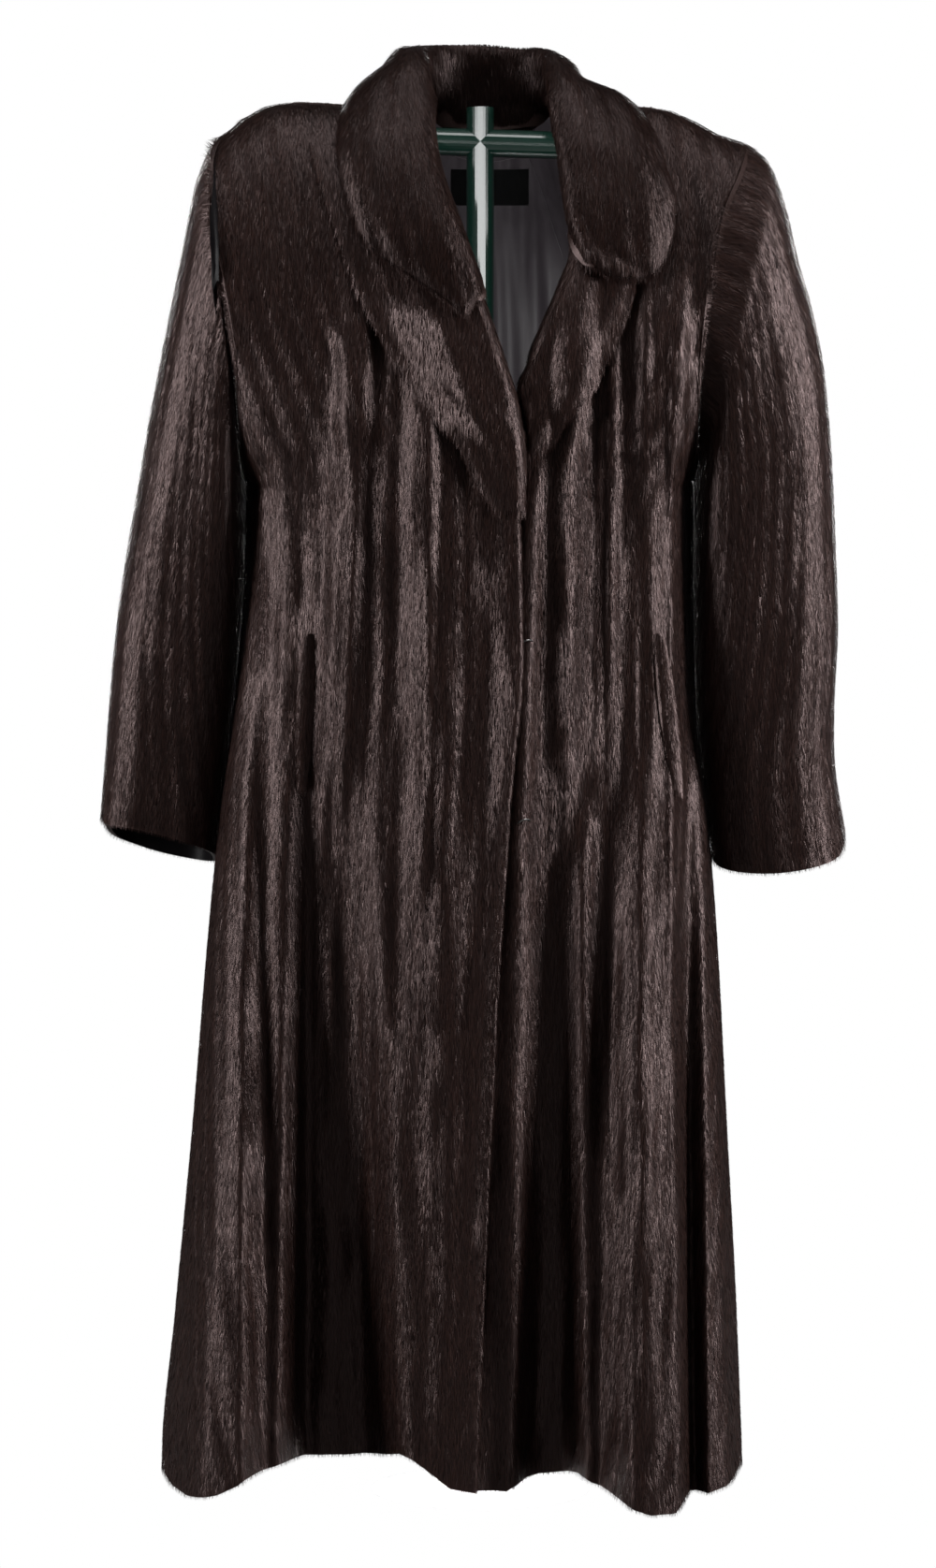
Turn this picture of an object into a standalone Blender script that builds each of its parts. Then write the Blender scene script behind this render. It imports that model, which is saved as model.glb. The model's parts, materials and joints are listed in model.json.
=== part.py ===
"""A full-length mink coat hanging open-necked on a cross-shaped stand.

Metres, +Z up. The coat faces -Y, and the wearer's right side is at -X. The origin is on the
floor, under the stand's pole. Sizes in the tables are millimetres.
"""
import math

import bmesh
import bpy
import numpy as np
from mathutils import Matrix
from mathutils.bvhtree import BVHTree

NAME = "fur_coat_on_stand"
MM = 0.001

# Driving dimensions, in millimetres.
WALL = 9.0              # pelt with its pile and lining
SEAM_GAP = 0.4          # between pieces sewn together
LAY_GAP = 0.9           # between a piece and the panel that it lies on
ARMPIT_ROW = 915.0      # row height of the armholes' lowest points
RIDGE_ROW = 1262.0      # row height of the shoulder seams
COLLAR_THICK = 17.0
COLLAR_GAP = 1.5        # between the collar and what it lies on
LINING_THICK = 2.0
LABEL_THICK = 1.0
WELT_THICK = 4.0
TUBE_RADIUS = 12.5      # the stand's tube
POLE_TOP = 1255.0
BAR_HEIGHT = 1223.6     # of the crossbar's axis at the pole
BAR_HALF = 192.0
BAR_SLOPE = -0.0318     # the crossbar drops towards +X
BASE_RADIUS = 100.0     # the base plate is a low cone
BASE_TOP_RADIUS = 30.0
BASE_THICK = 8.0
CUFF_ROUND = 12.0       # how far the cuffs' outer corners are rounded off
COAT_ZERO = 3.0         # the zero of the coat's tables lies this far above the floor

RIGHT, LEFT = -1, 1     # the wearer's sides, as the sign of X


def table(names, rows):
    """A table as one array for each named column."""
    return dict(zip(names.split(), np.array(rows, float).T))


def curve(x, xs, ys):
    """A smooth curve through the rows of a table, with no overshoot between them."""
    step = np.diff(xs)
    slope = np.diff(ys) / step
    product = slope[:-1] * slope[1:]
    total = slope[:-1] + slope[1:]
    tangent = np.concatenate(([slope[0]], np.zeros(len(xs) - 2), [slope[-1]]))
    rising = product > 0
    tangent[1:-1][rising] = 2 * product[rising] / total[rising]
    i = np.clip(np.searchsorted(xs, x, side="right") - 1, 0, len(xs) - 2)
    t = np.clip((x - xs[i]) / step[i], 0, 1)
    start = (1 + 2 * t) * (1 - t) ** 2 * ys[i] + t * (1 - t) ** 2 * step[i] * tangent[i]
    end = t * t * (3 - 2 * t) * ys[i + 1] + t * t * (t - 1) * step[i] * tangent[i + 1]
    return start + end


def refine(rows, steps):
    """A table with steps times as many rows, on smooth curves through its own ones."""
    stops = np.arange(len(next(iter(rows.values()))))
    fine = np.linspace(0, stops[-1], stops[-1] * steps + 1)
    return {name: curve(fine, stops, values) for name, values in rows.items()}


def at(rows, key, value, *names):
    """The named columns of a table at a value of its key column."""
    found = [curve(value, rows[key], rows[name]) for name in names]
    return found if len(found) > 1 else found[0]


def smooth(t):
    t = np.clip(t, 0, 1)
    return t * t * (3 - 2 * t)


def unit(v):
    return v / np.maximum(np.linalg.norm(v, axis=-1, keepdims=True), 1e-9)


# The fronts' free edges, from the hem up the closing, the V of the neck and the neck seam.
EDGE = {
    RIGHT: table("row x y z", [
        (0, -4, -126, 28), (185, 2, -122, 185), (350, 10, -117, 350), (515, 18, -112, 515),
        (655, 27, -108, 655), (770, 35, -106, 770), (900, 33, -107, 900), (966, 29, -106, 964),
        (995, 21, -103, 993), (1030, 9, -98, 1030), (1080, -8, -88, 1080), (1120, -24, -78, 1120),
        (1155, -38, -66, 1155), (1190, -50, -52, 1188), (1222, -57, -36, 1218),
        (1245, -60, -18, 1244), (1262, -62, 0, 1258)]),
    LEFT: table("row x y z", [
        (0, -62, -113, 28), (185, -56, -109, 185), (350, -48, -104, 350), (515, -40, -99, 515),
        (655, -31, -95, 655), (770, -23, -93, 770), (880, -22, -94, 880), (930, -10, -94, 930),
        (966, 12, -93, 966), (990, 32, -92, 990), (1015, 47, -90, 1015), (1045, 61, -86, 1045),
        (1080, 76, -79, 1080), (1110, 88, -71, 1110), (1140, 92, -62, 1140),
        (1170, 88, -50, 1170), (1200, 83, -38, 1198), (1230, 79, -22, 1230),
        (1250, 77, -10, 1246), (1262, 75, 0, 1252)]),
}
# The middle of the back, from the hem to the neck seam.
SPINE = table("row x y z", [
    (0, -22, 158, 24), (185, -20, 148, 185), (350, -17, 138, 350), (515, -13, 126, 515),
    (655, -9, 115, 655), (770, -7, 106, 770), (900, -5, 102, 900), (1000, -2, 100, 1000),
    (1080, 1, 96, 1080), (1140, 3, 88, 1135), (1190, 5, 76, 1178), (1230, 6, 65, 1212),
    (1262, 6, 58, 1232)])
# The side seams, from the hem to the armpits.
SIDE = {
    RIGHT: table("row x y", [
        (0, -289, 0), (43, -288, 0), (162, -277, 2), (332, -261, 3), (502, -247, 4),
        (613, -236, 4), (715, -223, 4), (842, -213, 4), (915, -212, 4)]),
    LEFT: table("row x y", [
        (0, 238, 0), (43, 237, 0), (162, 233, 2), (332, 224, 3), (502, 215, 4),
        (613, 206, 4), (715, 195, 4), (842, 193, 4), (915, 193, 4)]),
}
# The armholes: the angle runs from the shoulder down the front to the armpit.
ARMHOLE = {
    RIGHT: table("angle x", [(0, -232), (35, -243), (60, -243), (90, -230), (120, -219), (180, -212)]),
    LEFT: table("angle x", [(0, 246), (35, 232), (60, 213), (90, 203), (120, 197), (180, 193)]),
}
SHOULDER = {RIGHT: 1227.0, LEFT: 1217.0}
ARMHOLE_DEPTH = 79.0
# The shoulder seams' heights.
RIDGE = {
    RIGHT: table("x z", [
        (-260, 1176), (-245, 1212), (-232, 1227), (-214, 1243), (-194, 1254), (-184, 1256.4),
        (-164, 1259), (-143, 1258), (-123, 1256.4), (-62, 1258)]),
    LEFT: table("x z", [
        (75, 1252), (132, 1255), (153, 1254), (173, 1250), (193, 1241), (214, 1229),
        (234, 1222), (246, 1216), (260, 1202)]),
}
BODY_MIDDLE = np.array([-8.0, 0.0, 700.0])
# How full a section is: 2 is an ellipse, more is squarer.
FULLNESS = table("row front back", [
    (0, 3.4, 2.8), (350, 3.0, 2.6), (700, 2.7, 2.5), (915, 2.6, 2.5), (1262, 2.4, 2.4)])

# Folds of the hanging pelts: where the crest or trough lies across the coat at the chest, hip
# and hem, its half width at the waist and hem, its two flanks, and its height at four levels.
FOLD_COLUMNS = "x_chest x_hip x_hem half_waist half_hem flank_low flank_high chest waist hip hem"
FOLDS_FRONT = table(FOLD_COLUMNS, [
    (-205, -226, -236, 30, 50, 44, 26, 0, 5, 20, 42),      # lobe at the right side
    (-150, -130, -121, 40, 62, 30, 44, 0, -5, -26, -60),   # wide trough beside it
    (-40, -36, -34, 34, 34, 30, 30, 2, 7, 8, 3),           # ridge behind the closing edge
    (78, 62, 62, 26, 36, 26, 26, 0, -8, -15, -38),         # trough right of the edge
    (83, 66, 50, 22, 22, 22, 18, 8, 12, 3, 0),             # ridge over the hooks' side
    (160, 146, 148, 34, 46, 34, 18, 9, 12, 22, 54),        # lobe under the left pocket
    (206, 205, 211, 18, 26, 18, 18, 0, 4, 14, 34),         # lobe at the left side
])
FOLDS_BACK = table(FOLD_COLUMNS, [
    (-180, -196, -212, 30, 42, 36, 30, 0, 4, 16, 34),
    (-120, -130, -140, 30, 42, 34, 34, 0, -3, -14, -34),
    (-60, -68, -74, 30, 40, 36, 34, 0, 3, 12, 26),
    (0, -6, -10, 28, 36, 32, 32, 0, -3, -12, -26),
    (62, 56, 54, 28, 36, 32, 32, 0, 3, 12, 28),
    (118, 114, 116, 26, 34, 30, 30, 0, -3, -13, -30),
    (160, 168, 176, 26, 36, 30, 30, 0, 4, 15, 32),
])
FOLD_LEVELS = {"chest": 1010.0, "waist": 740.0, "hip": 500.0, "hem": 20.0}
# The hem's height across the front and the back.
HEM_FRONT = table("x z", [
    (-289, 21), (-278, 13), (-262, 11), (-235, 17), (-205, 32), (-178, 39), (-120, 39), (-90, 42),
    (-70, 50), (-55, 43), (-38, 28), (-21, 16), (5, 16), (24, 15), (45, 23), (69, 25), (84, 28),
    (105, 20), (130, 8), (150, 2), (172, 2), (187, 14), (202, 14), (225, 19), (238, 25)])
HEM_BACK = table("x z", [(-289, 21), (-210, 16), (-140, 27), (-70, 18), (-8, 27), (56, 17), (116, 27),
                         (176, 15), (238, 25)])
HEM_REACH = 160.0       # how far up the hem's waves are felt

EASED_REACH = 130.0     # how far from the armpits the panels' rows are eased

ROWS = np.array([0, 28, 105, 215, 335, 455, 570, 680, 780, 860, ARMPIT_ROW,
                 950, 990, 1030, 1070, 1110, 1145, 1178, 1207, 1232, 1250, RIDGE_ROW])
FRONT_COLUMNS = 25
BACK_COLUMNS = 18       # in each half


def folds(rows, x, z):
    """How far the folds stand out from the body at x and z."""
    levels = sorted(FOLD_LEVELS.values())
    names = sorted(FOLD_LEVELS, key=FOLD_LEVELS.get)
    total = np.zeros(np.broadcast(x, z).shape)
    low = np.clip((FOLD_LEVELS["waist"] - z) / (FOLD_LEVELS["waist"] - FOLD_LEVELS["hem"]), 0, 1)
    for k in range(len(rows["chest"])):
        heights = np.array([rows[name][k] for name in names])
        place = np.array([rows["x_hem"][k], rows["x_hip"][k], rows["x_chest"][k]])
        middle = np.interp(z, [FOLD_LEVELS["hem"], FOLD_LEVELS["hip"], FOLD_LEVELS["chest"]], place)
        half = rows["half_waist"][k] + (rows["half_hem"][k] - rows["half_waist"][k]) * low
        below = smooth((x - (middle - half)) / rows["flank_low"][k])
        above = smooth((middle + half - x) / rows["flank_high"][k])
        fade = smooth((1130.0 - z) / 120.0)
        total = total + np.interp(z, levels, heights) * below * above * fade
    return total


def armhole(side, angle):
    """A point of the armhole: 0 at the shoulder, 90 in front, 180 at the armpit, 270 behind."""
    top, low = SHOULDER[side], ARMPIT_ROW
    rad = np.radians(angle)
    fold_angle = np.where(angle > 180, 360 - angle, angle)
    x = curve(fold_angle, ARMHOLE[side]["angle"], ARMHOLE[side]["x"])
    y = -ARMHOLE_DEPTH * np.sin(rad) + 4.0 * (1 - np.cos(rad)) / 2
    z = (top + low) / 2 + (top - low) / 2 * np.cos(rad)
    return np.stack([x, y, z], -1)


def armhole_inward(side, angle):
    """The way through the wall at an armhole: to the hole's middle, and into the body at the armpit."""
    rad = np.radians(angle)
    into_body = 0.9 * smooth((np.abs(np.sin(rad / 2)) - 0.72) / 0.28)
    return unit(np.stack([-side * into_body, np.sin(rad), -np.cos(rad)], -1))


def row_angle(row):
    return 180.0 * (1 - (row - ARMPIT_ROW) / (RIDGE_ROW - ARMPIT_ROW))


def side_points(side, row, behind):
    """The panels' outer columns: the side seam, and the armhole's front or back half above it."""
    seam = np.stack([*at(SIDE[side], "row", np.minimum(row, ARMPIT_ROW), "x", "y"), row], -1)
    angle = row_angle(np.maximum(row, ARMPIT_ROW))
    hole = armhole(side, 360 - angle if behind else angle)
    return np.where((row > ARMPIT_ROW)[..., None], hole, seam)


def eased_side_points(side, row, behind):
    """The outer columns with the armpit's corner eased, as the rest of the panel follows them."""
    steps = np.array([-70.0, -35.0, 0.0, 35.0, 70.0])
    shares = np.array([1, 2, 3, 2, 1]) / 9
    eased = sum(share * side_points(side, np.clip(row + step, 0, RIDGE_ROW), behind)
                for step, share in zip(steps, shares))
    near = np.exp(-(((row - ARMPIT_ROW) / EASED_REACH) ** 2))[..., None]
    return side_points(side, row, behind) * (1 - near) + eased * near


def panel_points(side, u, row, behind):
    """The outer surface of half a body panel, from its free edge or the spine, u=0, to the side, u=1.

    It returns the folded surface and the plain one that the folds stand on."""
    u, row = np.broadcast_arrays(np.asarray(u, float), np.asarray(row, float))
    edge = SPINE if behind else EDGE[side]
    inner = np.stack(at(edge, "row", row, "x", "y", "z"), -1)
    share = smooth((0.9 - u) / 0.3)[..., None]
    outer = side_points(side, row, behind) * (1 - share) + eased_side_points(side, row, behind) * share
    full = at(FULLNESS, "row", row, "back" if behind else "front")
    along = np.sin(math.pi / 2 * u) ** (2 / full)
    depth = np.cos(math.pi / 2 * np.minimum(u, 1 - 1e-12)) ** (2 / full)
    x = inner[..., 0] + (outer[..., 0] - inner[..., 0]) * along
    y = outer[..., 1] + (inner[..., 1] - outer[..., 1]) * depth
    z = inner[..., 2] + (outer[..., 2] - inner[..., 2]) * along
    # Near the shoulder the rows bend up to the seam, and at the neck down to the neck seam.
    near = smooth((row - 1125.0) / (RIDGE_ROW - 1125.0))
    ridge = RIDGE[side]
    height = np.interp(x, ridge["x"], ridge["z"])
    if behind:
        neck_x = EDGE[side]["x"][-1]
        neck_z = EDGE[side]["z"][-1]
        t = np.clip((x - inner[..., 0]) / (neck_x - inner[..., 0]), 0, 1)
        neck_y = SPINE["y"][-1] * np.sqrt(np.clip(1 - t ** 2.4, 0, 1))
        neck_z = SPINE["z"][-1] + (neck_z - SPINE["z"][-1]) * t ** 2.2
        on_neck = np.abs(x - inner[..., 0]) < np.abs(EDGE[side]["x"][-1] - inner[..., 0])
        top_y = np.where(on_neck, neck_y, 0.0)
        top_z = np.where(on_neck, neck_z, height)
        last = curve(RIDGE_ROW, SPINE["row"], SPINE["y"]) * depth
        y = y + near * (top_y - last)
        plain_z = SPINE["z"][-1] + (SHOULDER[side] - SPINE["z"][-1]) * along
        z = z + near * (top_z - plain_z)
    else:
        plain_z = EDGE[side]["z"][-1] + (SHOULDER[side] - EDGE[side]["z"][-1]) * along
        z = z + near * (height - plain_z)
    plain = np.stack([x, y, z], -1)
    # The hem's waves, and the folds, which die out at the side seam.
    hem = HEM_BACK if behind else HEM_FRONT
    hem_z = np.interp(x, hem["x"], hem["z"])
    low = smooth(1 - row / HEM_REACH)
    z = z * (1 - low) + low * (hem_z + row * (1 - hem_z / HEM_REACH))
    out = folds(FOLDS_BACK if behind else FOLDS_FRONT, x, z) * smooth((1 - u) / 0.12)
    y = y + (out if behind else -out)
    return np.stack([x, y, z], -1), plain


def inward(plain, toward):
    """Unit directions into the wall, square to a grid of points, on the side that toward points to."""
    du = np.gradient(plain, axis=1)
    dv = np.gradient(plain, axis=0)
    normal = unit(np.cross(du, dv))
    flip = np.sign(np.sum(normal * toward, -1, keepdims=True))
    return normal * np.where(flip == 0, 1, flip)


def body_grid(side, rows, columns, behind):
    """Outer points and inward directions of half a body panel, with the seams' shared directions."""
    u = np.linspace(0, 1, columns)
    points, plain = panel_points(side, u[None, :], rows[:, None], behind)
    middle = np.array([-8.0, 0.0, 0.0])
    toward = unit((middle - plain) * [1, 1, 0] + [0, 0, -1])
    ways = inward(plain, toward)
    high = rows >= ARMPIT_ROW
    angle = row_angle(rows[high])
    ways[high, -1] = armhole_inward(side, 360 - angle if behind else angle)
    ways[~high, -1] = [-side, 0, 0]
    on_ridge = np.abs(plain[-1, :, 1]) < 1
    ways[-1, on_ridge] = [0, 0, -1]
    ways[-1, -1] = armhole_inward(side, np.array(0.0))
    return points, ways, plain


def ridge_thickness(side, x):
    """At the shoulder seams the wall reaches down to the crossbar: pelt, shoulder pad and lining."""
    bar_top = BAR_HEIGHT - COAT_ZERO + TUBE_RADIUS / math.cos(math.atan(BAR_SLOPE)) + BAR_SLOPE * x
    height = np.interp(x, RIDGE[side]["x"], RIDGE[side]["z"])
    return np.clip(height - bar_top - SEAM_GAP, WALL - 1.5, 40)


def wall_thickness(side, points, rows, behind):
    """The wall's thickness over a grid, with the pad along the shoulder seam."""
    thick = np.full(points.shape[:2], WALL)
    near = smooth((rows[:, None] - 1250.0) / (RIDGE_ROW - 1250.0))
    at_ridge = ridge_thickness(side, points[..., 0])
    neck_x = abs(EDGE[side]["x"][-1])
    on_ridge = smooth((np.abs(points[..., 0]) - neck_x + 8) / 8) if behind else 1.0
    return thick + near * on_ridge * (at_ridge - WALL)


def halves(points, quad):
    """A quad's two triangles, split along its shorter diagonal."""
    a, b, c, d = quad
    corners = points[[a, b, c, d]]
    if np.linalg.norm(corners[2] - corners[0]) <= np.linalg.norm(corners[3] - corners[1]):
        return [(a, b, c), (a, c, d)]
    return [(b, c, d), (b, d, a)]


def wall(outer, inner, wrap=False):
    """Vertices and faces of a closed wall between two grids; wrap joins the last column to the first."""
    rows, columns = outer.shape[:2]
    count = rows * columns
    points = np.concatenate([outer.reshape(-1, 3), inner.reshape(-1, 3)])
    faces = []

    def index(layer, i, j):
        return layer * count + i * columns + j % columns

    across = columns if wrap else columns - 1
    for i in range(rows - 1):
        for j in range(across):
            corners = ((i, j), (i, j + 1), (i + 1, j + 1), (i + 1, j))
            faces += halves(points, [index(0, *corner) for corner in corners])
            faces += halves(points, [index(1, *corner) for corner in corners[::-1]])
    # The rims are split so that two walls that meet at a seam are split alike.
    for i, turn in ((0, 1), (rows - 1, -1)):
        for j in range(across):
            low, high = (j + 1, j) if wrap and j < columns / 2 else (j, j + 1)
            turned = turn if low < high else -turn
            faces.append([index(0, i, low), index(1, i, low), index(1, i, high)][::turned])
            faces.append([index(0, i, low), index(1, i, high), index(0, i, high)][::turned])
    if not wrap:
        for j, turn in ((0, -1), (columns - 1, 1)):
            for i in range(rows - 1):
                faces.append([index(0, i, j), index(1, i, j), index(1, i + 1, j)][::turn])
                faces.append([index(0, i, j), index(1, i + 1, j), index(0, i + 1, j)][::turn])
    return points, faces


def loops(rings):
    """Vertices and faces of a solid through closed rings of points, with flat ends."""
    count, around = rings.shape[:2]
    points = rings.reshape(-1, 3)
    faces = []
    for i in range(count - 1):
        for j in range(around):
            k = (j + 1) % around
            faces += halves(points, [i * around + j, i * around + k, (i + 1) * around + k, (i + 1) * around + j])
    faces.append(tuple(range(around))[::-1])
    faces.append(tuple((count - 1) * around + j for j in range(around)))
    return points, faces


def add_object(name, mesh, material):
    obj = bpy.data.objects.new(name, mesh)
    obj.data.materials.append(material)
    bpy.data.collections[NAME].objects.link(obj)
    return obj


def add_mesh(name, vertices, faces, material):
    """An object from points in millimetres, its faces turned outwards and shaded smooth."""
    mesh = bpy.data.meshes.new(name)
    mesh.from_pydata(((vertices + [0, 0, COAT_ZERO]) * MM).tolist(), [], faces)
    shape = bmesh.new()
    shape.from_mesh(mesh)
    bmesh.ops.recalc_face_normals(shape, faces=shape.faces)
    if shape.calc_volume(signed=True) < 0:
        bmesh.ops.reverse_faces(shape, faces=shape.faces)
    shape.to_mesh(mesh)
    shape.free()
    mesh.shade_smooth()
    mesh.set_sharp_from_angle(angle=math.radians(50))
    return add_object(name, mesh, material)


def make_material(name, colour, roughness, metallic=0.0):
    material = bpy.data.materials.new(name)
    material.use_nodes = True
    shader = material.node_tree.nodes["Principled BSDF"]
    shader.inputs["Base Color"].default_value = (*colour, 1)
    shader.inputs["Roughness"].default_value = roughness
    shader.inputs["Metallic"].default_value = metallic
    return material


def front_grid(side):
    points, ways, _ = body_grid(side, ROWS, FRONT_COLUMNS, behind=False)
    thick = wall_thickness(side, points, ROWS, behind=False)
    points = points + [0, -SEAM_GAP / 2, 0]
    return points, points + ways * thick[..., None]


def back_grid():
    """The back's two halves as one grid, from the right side seam over the spine to the left one."""
    halves = []
    for side in (RIGHT, LEFT):
        points, ways, _ = body_grid(side, ROWS, BACK_COLUMNS, behind=True)
        thick = wall_thickness(side, points, ROWS, behind=True)
        points = points + [0, SEAM_GAP / 2, 0]
        halves.append((points, ways * thick[..., None]))
    (right, right_way), (left, left_way) = halves
    right_way[:, 0] = left_way[:, 0] = (right_way[:, 0] + left_way[:, 0]) / 2
    points = np.concatenate([right[:, ::-1], left[:, 1:]], axis=1)
    ways = np.concatenate([right_way[:, ::-1], left_way[:, 1:]], axis=1)
    return points, points + ways


# The sleeves: the outer and inner outline at each ring below the armhole, and half the ring's depth.
SLEEVE = {
    RIGHT: table("x_out z_out x_in z_in half shift", [
        (-245, 1212, -213.5, 903, 80, 0), (-255, 1192, -213, 890, 80, 1), (-262, 1166, -213, 875, 80, 2),
        (-270, 1128, -213, 852, 79, 3), (-280, 1083, -213.5, 826, 78, 5), (-291, 1030, -214.5, 797, 77, 8),
        (-302, 975, -216.5, 765, 75, 11), (-312, 918, -219, 732, 73, 14), (-323, 857, -222, 700, 71, 17),
        (-332.5, 793, -226, 668, 69, 20), (-339, 727, -229.5, 637, 67, 22), (-344, 660, -233, 605, 66, 24),
        (-349, 599, -237, 571, 65, 26)]),
    LEFT: table("x_out z_out x_in z_in half shift", [
        (259, 1204, 194, 903, 80, 0), (270, 1184, 193.5, 890, 80, 0), (279, 1158, 193, 875, 80, 0),
        (289, 1120, 192, 852, 79, 1), (302, 1078, 191, 826, 78, 2), (313, 1027, 191, 797, 77, 4),
        (319, 972, 191, 765, 76, 6), (323, 915, 192, 732, 74, 8), (326, 850, 193, 700, 72, 10),
        (328, 783, 195.5, 670, 70, 12), (325, 717, 199, 642, 69, 14), (326, 655, 202.5, 613, 68, 16),
        (336, 589, 207, 577, 67, 18)]),
}
CUFF_SLANT = {RIGHT: -11.0, LEFT: 22.0}   # how much higher the cuff's back is than its front, halved


def sleeve_rings(side):
    """The sleeve's outer and inner rings, from the armhole to the cuff."""
    high = ROWS[ROWS >= ARMPIT_ROW]
    angle = np.concatenate([row_angle(high)[::-1], 360 - row_angle(high)[1:-1]])
    rad = np.radians(angle)
    rows = SLEEVE[side]
    rings = [armhole(side, angle)]
    ways = [armhole_inward(side, angle)]
    count = len(rows["half"])
    for k in range(count):
        top = np.array([rows["x_out"][k], 0, rows["z_out"][k]])
        low = np.array([rows["x_in"][k], 0, rows["z_in"][k]])
        middle, half = (top + low) / 2, (top - low) / 2
        depth = np.array([0, rows["half"][k], 0])
        square = 1 - 0.06 * np.cos(4 * rad)[:, None] * min(1, k / 4)
        ring = middle + (half * np.cos(rad)[:, None] - depth * np.sin(rad)[:, None]) * square
        ring[:, 1] += rows["shift"][k]
        raised = CUFF_ROUND * np.maximum(np.cos(rad), 0) ** 12 - CUFF_SLANT[side] * np.sin(rad)
        ring[:, 2] += raised * smooth((k - count + 4) / 3)
        rings.append(ring)
        ways.append(unit(middle + [0, rows["shift"][k], 0] - ring))
    # The way through the wall is square to the tube, not along the slanted ring.
    rings = np.array(rings)
    ways = np.array(ways)
    along = unit(np.gradient(rings, axis=0))
    square_way = ways - along * np.sum(ways * along, -1, keepdims=True)
    share = smooth(np.arange(count + 1) / 3.0)[:, None, None]
    ways = unit(ways * (1 - share) + unit(square_way) * share)
    rings = rings + [side * SEAM_GAP, 0, 0]
    return rings, rings + ways * WALL


def front_column_at(side, row, x):
    """The u of the front panel's point at x on a row."""
    u = np.linspace(0, 1, 400)
    points, _ = panel_points(side, u, np.full_like(u, row), behind=False)
    return float(np.interp(side * x, side * points[:, 0], u))


# The lapels' outer edges, row by row, and how far their inner edges hook round the front's edge.
LAPEL = {
    RIGHT: table("row x_out hook thick", [
        (884, 12, 0.2, 5), (905, -2, 0.5, 8), (930, -13, 0.8, 10), (952, -22, 1, 10), (972, -38, 1, 10),
        (996, -54, 1, 10), (1018, -69, 1, 10), (1042, -84, 1, 10), (1069, -99, 1, 10),
        (1095, -113, 1, 10), (1120, -123, 1, 9), (1148, -134, 1, 8), (1174, -144, 1, 6),
        (1198, -151, 1, 4)]),
    LEFT: table("row x_out hook thick", [
        (948, 60, 0, 7), (958, 69, 0, 9), (972, 76, 0, 10), (990, 86, 0, 10), (1012, 101, 0, 10),
        (1036, 113, 1, 10), (1060, 124, 1, 10), (1080, 134, 1, 10), (1098, 138, 1, 9),
        (1115, 138, 1, 8), (1135, 136, 1, 6), (1155, 132, 1, 4)]),
}
LAPEL_STEPS = 12
LAPEL_CLEAR = 14.0      # between the right front's edge and the left lapel's inner edge
# The lapel's inner edge in section: steps past the front's edge and rises, as shares of the lapel's
# thickness above the panel and millimetres below it.
HOOKED = table("step over under", [
    (1.0, 0.96, 0), (4.5, 0.78, 0), (7.7, 0.4, 0), (9.2, 0, -1.0), (8.6, 0, -6.0), (6.0, 0, -9.0),
    (3.2, 0, -6.0)])
BLUNT = table("step over", [
    (1.0, 0.94), (2.6, 0.8), (3.6, 0.62), (4.0, 0.45), (3.6, 0.3), (2.4, 0.16), (1.0, 0.09)])


def lapel_rings(side, grid, tree):
    """Closed rings of a lapel, each along one row of the front's grid that it lies on."""
    rows = refine(LAPEL[side], 2)
    rings = []
    for row, x_out, hook, thick in zip(rows["row"], rows["x_out"], rows["hook"], rows["thick"]):
        edge_x = float(at(EDGE[side], "row", row, "x"))
        clear_x = float(at(EDGE[RIGHT], "row", row, "x")) + LAPEL_CLEAR
        x_in = max(edge_x, clear_x) if side == LEFT else edge_x
        u_in = front_column_at(side, row, x_in) if x_in > edge_x else 0.0
        u_out = front_column_at(side, row, x_out)
        u = np.linspace(u_in, u_out, LAPEL_STEPS)
        grid_rows = row + np.array([-4.0, 0.0, 4.0])
        points, _ = panel_points(side, u[None, :], grid_rows[:, None], behind=False)
        ways = inward(points, np.array([0, 1.0, -0.2]))[1]
        base = points[1] + [0, -SEAM_GAP / 2, 0]
        if x_in == edge_x:
            base[0] = [np.interp(row, ROWS, grid[:, 0, k]) for k in range(3)]
        out = unit(base[0] - base[1])
        under = base - ways * LAY_GAP
        rim = np.sin(np.linspace(0.14, 1, LAPEL_STEPS) * math.pi / 2)[::-1] ** 0.5
        over = base - ways * (LAY_GAP + (thick * rim)[:, None])
        if hook > 0:
            step = HOOKED["step"] * (0.7 + 0.3 * hook)
            rise = HOOKED["over"] * thick + HOOKED["under"] * hook
        else:
            step = BLUNT["step"]
            rise = BLUNT["over"] * thick
        inner_edge = base[0] + out * step[:, None] - ways[0] * rise[:, None]
        rings.append(np.concatenate([over[::-1], inner_edge, under]))
    rings = np.array(rings)
    on_panel = np.r_[0:LAPEL_STEPS - 1, rings.shape[1] - LAPEL_STEPS + 1:rings.shape[1]]
    rings[:, on_panel] = push_clear(rings[:, on_panel], [tree], LAY_GAP)
    return rings


def lapel_top(rings):
    """The part of a lapel that the collar lies on, as a grid."""
    return np.concatenate([rings[:, -1:], rings[:, :LAPEL_STEPS + 6]], axis=1)


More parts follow.
